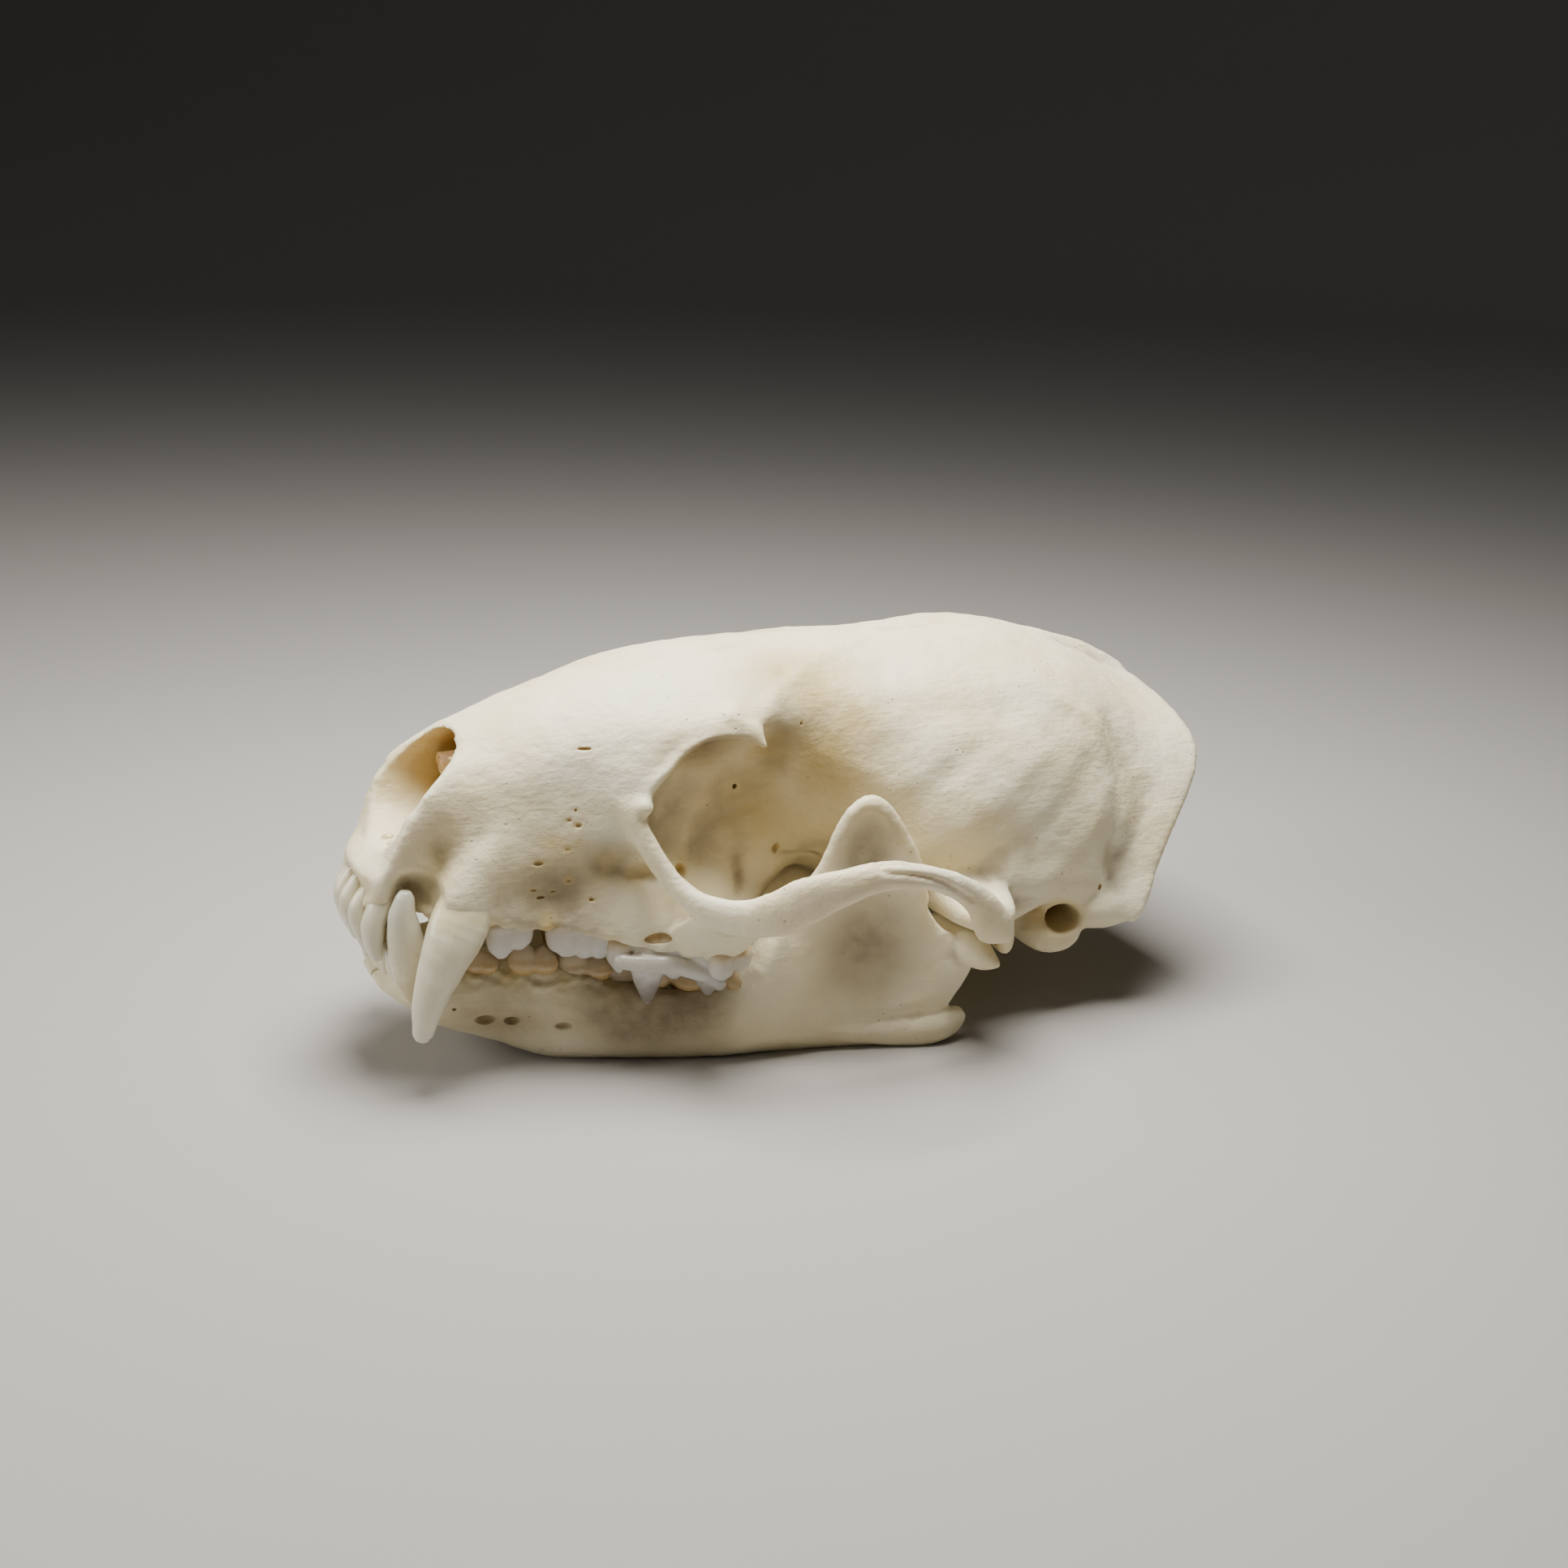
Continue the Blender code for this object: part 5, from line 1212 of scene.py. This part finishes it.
def enamel_material(name, stops):
    """Enamel coloured from the root to the tip by stops of (share of the crown, colour)."""
    material = new_material(
        name, Subsurface_Weight=0.25, Subsurface_Scale=0.0015, Coat_Weight=0.2, Coat_Roughness=0.2,
        Specular_IOR_Level=0.5)
    material.node_tree.nodes["Principled BSDF"].inputs["Subsurface Radius"].default_value = (1.0, 0.8, 0.65)
    g = Graph(material)
    uneven = g.fit(g.noise(0.9, 4.0), 0.3, 0.7, -0.06, 0.06)
    crown = g.fit(g.math("ADD", g.stored("crown"), uneven), -0.5, 1.0)
    ramp = g.add("ShaderNodeValToRGB", {"Fac": crown})
    for (share, colour), at in zip(stops, list(ramp.color_ramp.elements) + [None] * len(stops)):
        element = at or ramp.color_ramp.elements.new((share + 0.5) / 1.5)
        element.position = (share + 0.5) / 1.5
        element.color = colour
    growth = g.noise(0.25, 3.0, stretch=(1.0, 1.0, 9.0))
    colour = g.mix(g.fit(growth, 0.5, 0.8, 0.0, 0.18), ramp.outputs["Color"], GROWTH_LINE)
    relief = g.bump(growth, 0.008)
    relief = g.bump(g.noise(0.7, 3.0), 0.02, relief)
    g.finish(Base_Color=colour, Roughness=g.fit(g.noise(1.2), 0.3, 0.7, 0.24, 0.36), Normal=relief)
    return material


ivory_enamel = enamel_material("ivory_enamel", (
    (-0.5, (0.62, 0.48, 0.24, 1.0)), (-0.02, (0.72, 0.63, 0.40, 1.0)), (0.03, (0.78, 0.71, 0.50, 1.0)),
    (0.6, (0.78, 0.73, 0.56, 1.0)), (1.0, (0.74, 0.71, 0.58, 1.0))))
# the dark tips are partly clear enamel and partly painted shade
milky_enamel = enamel_material("milky_enamel", (
    (-0.5, (0.50, 0.30, 0.10, 1.0)), (-0.05, (0.56, 0.40, 0.20, 1.0)), (0.15, (0.62, 0.56, 0.46, 1.0)),
    (0.58, (0.66, 0.65, 0.62, 1.0)), (0.8, (0.34, 0.31, 0.28, 1.0)), (1.0, (0.24, 0.21, 0.18, 1.0))))
# stained from the root up, and darker all over as painted shade under the upper teeth
stained_enamel = enamel_material("stained_enamel", (
    (-0.5, (0.42, 0.24, 0.07, 1.0)), (-0.05, (0.52, 0.35, 0.14, 1.0)), (0.3, (0.60, 0.48, 0.32, 1.0)),
    (0.7, (0.60, 0.54, 0.44, 1.0)), (1.0, (0.48, 0.46, 0.42, 1.0))))
print("enamels:", ivory_enamel.name, milky_enamel.name, stained_enamel.name)

# %% [markdown]
# ## Thin bone
#
# Light shines through bone as thin as paper, and the scrolls in the nose keep the most colour of all.

# %% Setting the scrolls in the nose
AMBER = (0.62, 0.37, 0.11, 1.0)
STRAW = (0.78, 0.60, 0.32, 1.0)

thin_bone = new_material("thin_bone", Roughness=0.6, Subsurface_Weight=0.3, Subsurface_Scale=0.0006)
g = Graph(thin_bone)
g.finish(Base_Color=g.mix(g.fit(g.noise(0.8, 5.0), 0.3, 0.7), AMBER, STRAW), Normal=g.bump(g.noise(0.3, 4.0), 0.03))

nose = []
for side, word in ((1, "right"), (-1, "left")):
    for number, (across, low, count) in enumerate(SCROLL_COLUMNS, 1):
        start = (SCROLL_FRONT, across * side, low)
        nose.append(scrolls(f"nose_scrolls_{number}_{word}", thin_bone, start, Count=count, Seed=number + side))
print("scroll columns:", len(nose), "with", sum(triangles(piece) for piece in nose), "triangles")

# %% [markdown]
# ## Dressing the frame
#
# The new cranium stands for the four solids that were cut from it, and each half of the jaw for its own solid.

# %% Dressing the frame
dressed = [(cranium, bone, "snout_bone")]
dressed += [(mandibles[1], bone, "jaw_right_bone"), (mandibles[-1], bone, "jaw_left_bone")]
for tooth, slot in teeth:
    row, kind = tooth.name.split("_")[:2]
    enamel = milky_enamel if row == "upper" else stained_enamel
    dressed.append((tooth, ivory_enamel if kind in ("canine", "incisor") else enamel, slot))
dressed += [(piece, thin_bone, "snout_bone") for piece in nose]
for piece, material, slot in dressed:
    piece.data.materials.clear()
    piece.data.materials.append(material)
    piece.data.shade_smooth()
    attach(piece, "root")
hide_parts("snout", "braincase", "cheek_arch_left", "cheek_arch_right")
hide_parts("jaw_right")
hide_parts("jaw_left")
print(len(dressed), "pieces,", sum(triangles(piece) for piece, _, _ in dressed), "triangles")

# %% [markdown]
# ## The table, the camera and the light
#
# The skull stands on a plain pale sweep that curves up all round, so no edge shows from any side. The camera stands
# where the photographer did: its angles and distance were fitted to points measured in the photograph.

# %% The table
SWEEP_FLAT = 700.0
SWEEP_RISE = 500.0
SWEEP_SIDES = 96
PALE_GREY = (0.38, 0.36, 0.33, 1.0)

# (radius, height) from the rim of the sweep down to its middle
profile = [(SWEEP_FLAT * share, 0.0) for share in (0.2, 0.6, 1.0)]
for turn in np.linspace(0.0, math.pi / 2, 13)[1:]:
    profile.append((SWEEP_FLAT + SWEEP_RISE * math.sin(turn), SWEEP_RISE * (1 - math.cos(turn))))
profile.reverse()
turns = round_turns(SWEEP_SIDES)
rows = []
for radius, height in profile:
    rows.append(np.column_stack([radius * np.cos(turns), radius * np.sin(turns), np.full(SWEEP_SIDES, height)]))
middle = tuple(range((len(rows) - 1) * SWEEP_SIDES, len(rows) * SWEEP_SIDES))
sweep_mesh = bpy.data.meshes.new("sweep")
sweep_mesh.from_pydata((np.vstack(rows) * MM).tolist(), [], [*band_faces(len(rows), SWEEP_SIDES), middle])
sweep_mesh.shade_smooth()
sweep_mesh.materials.append(new_material("pale_card", Base_Color=PALE_GREY, Roughness=0.85))
table = added("sweep", sweep_mesh)
print("the sweep is", 2 * (SWEEP_FLAT + SWEEP_RISE) * MM, "m across")

# %% The camera
AZIMUTH, ELEVATION, ROLL = (math.radians(angle) for angle in (-26.596, 19.505, 1.474))
TARGET = (33.395, -5.0, 19.277)
DISTANCE = 138.897
# the fitted focal length over the photograph's width, both in pixels
FOCAL_SHARE = 2196.76 / 1932
SENSOR = 36.0

right = np.array([math.cos(AZIMUTH), math.sin(AZIMUTH), 0.0])
level = math.cos(ELEVATION)
ahead = np.array([-math.sin(AZIMUTH) * level, math.cos(AZIMUTH) * level, -math.sin(ELEVATION)])
up = np.cross(right, ahead)
pose = np.eye(4)
pose[:3, 0] = right * math.cos(ROLL) + up * math.sin(ROLL)
pose[:3, 1] = up * math.cos(ROLL) - right * math.sin(ROLL)
pose[:3, 2] = -ahead
pose[:3, 3] = metres(np.array(TARGET) - ahead * DISTANCE)
camera_data = bpy.data.cameras.new("camera")
camera_data.sensor_width = SENSOR
camera_data.lens = SENSOR * FOCAL_SHARE
camera_data.clip_start = 0.005
camera = added("camera", camera_data)
camera.matrix_world = Matrix(pose.tolist())
bpy.context.scene.camera = camera
print("camera at, m:", pose[:3, 3].round(4).tolist(), "with a lens of", round(camera_data.lens, 1), "mm")

# %% [markdown]
# ## The light
#
# One soft light hangs above the skull, as in the photograph, and a weaker one fills the face from the front. The
# world adds a little light from all round, so no hollow turns black.

# %% The light
AIM = (0.0, 0.0, 0.015)


def area_light(name, spot, power, size, colour):
    """A soft square light aimed at the skull."""
    data = bpy.data.lights.new(name, "AREA")
    data.energy, data.size, data.color = power, size, colour
    lamp = added(name, data)
    lamp.location = spot
    lamp.rotation_euler = (Vector(AIM) - Vector(spot)).to_track_quat("-Z", "Y").to_euler()


area_light("top", (0.0, 0.006, 0.15), 0.64, 0.09, (1.0, 0.99, 0.97))
area_light("front", (-0.28, 0.07, 0.16), 0.6, 0.16, (1.0, 0.98, 0.95))
world = bpy.data.worlds.new("studio")
world.use_nodes = True
world.node_tree.nodes["Background"].inputs["Color"].default_value = (0.92, 0.94, 0.97, 1.0)
world.node_tree.nodes["Background"].inputs["Strength"].default_value = 0.06
bpy.context.scene.world = world
print("lights:", [light.name for light in bpy.data.lights])
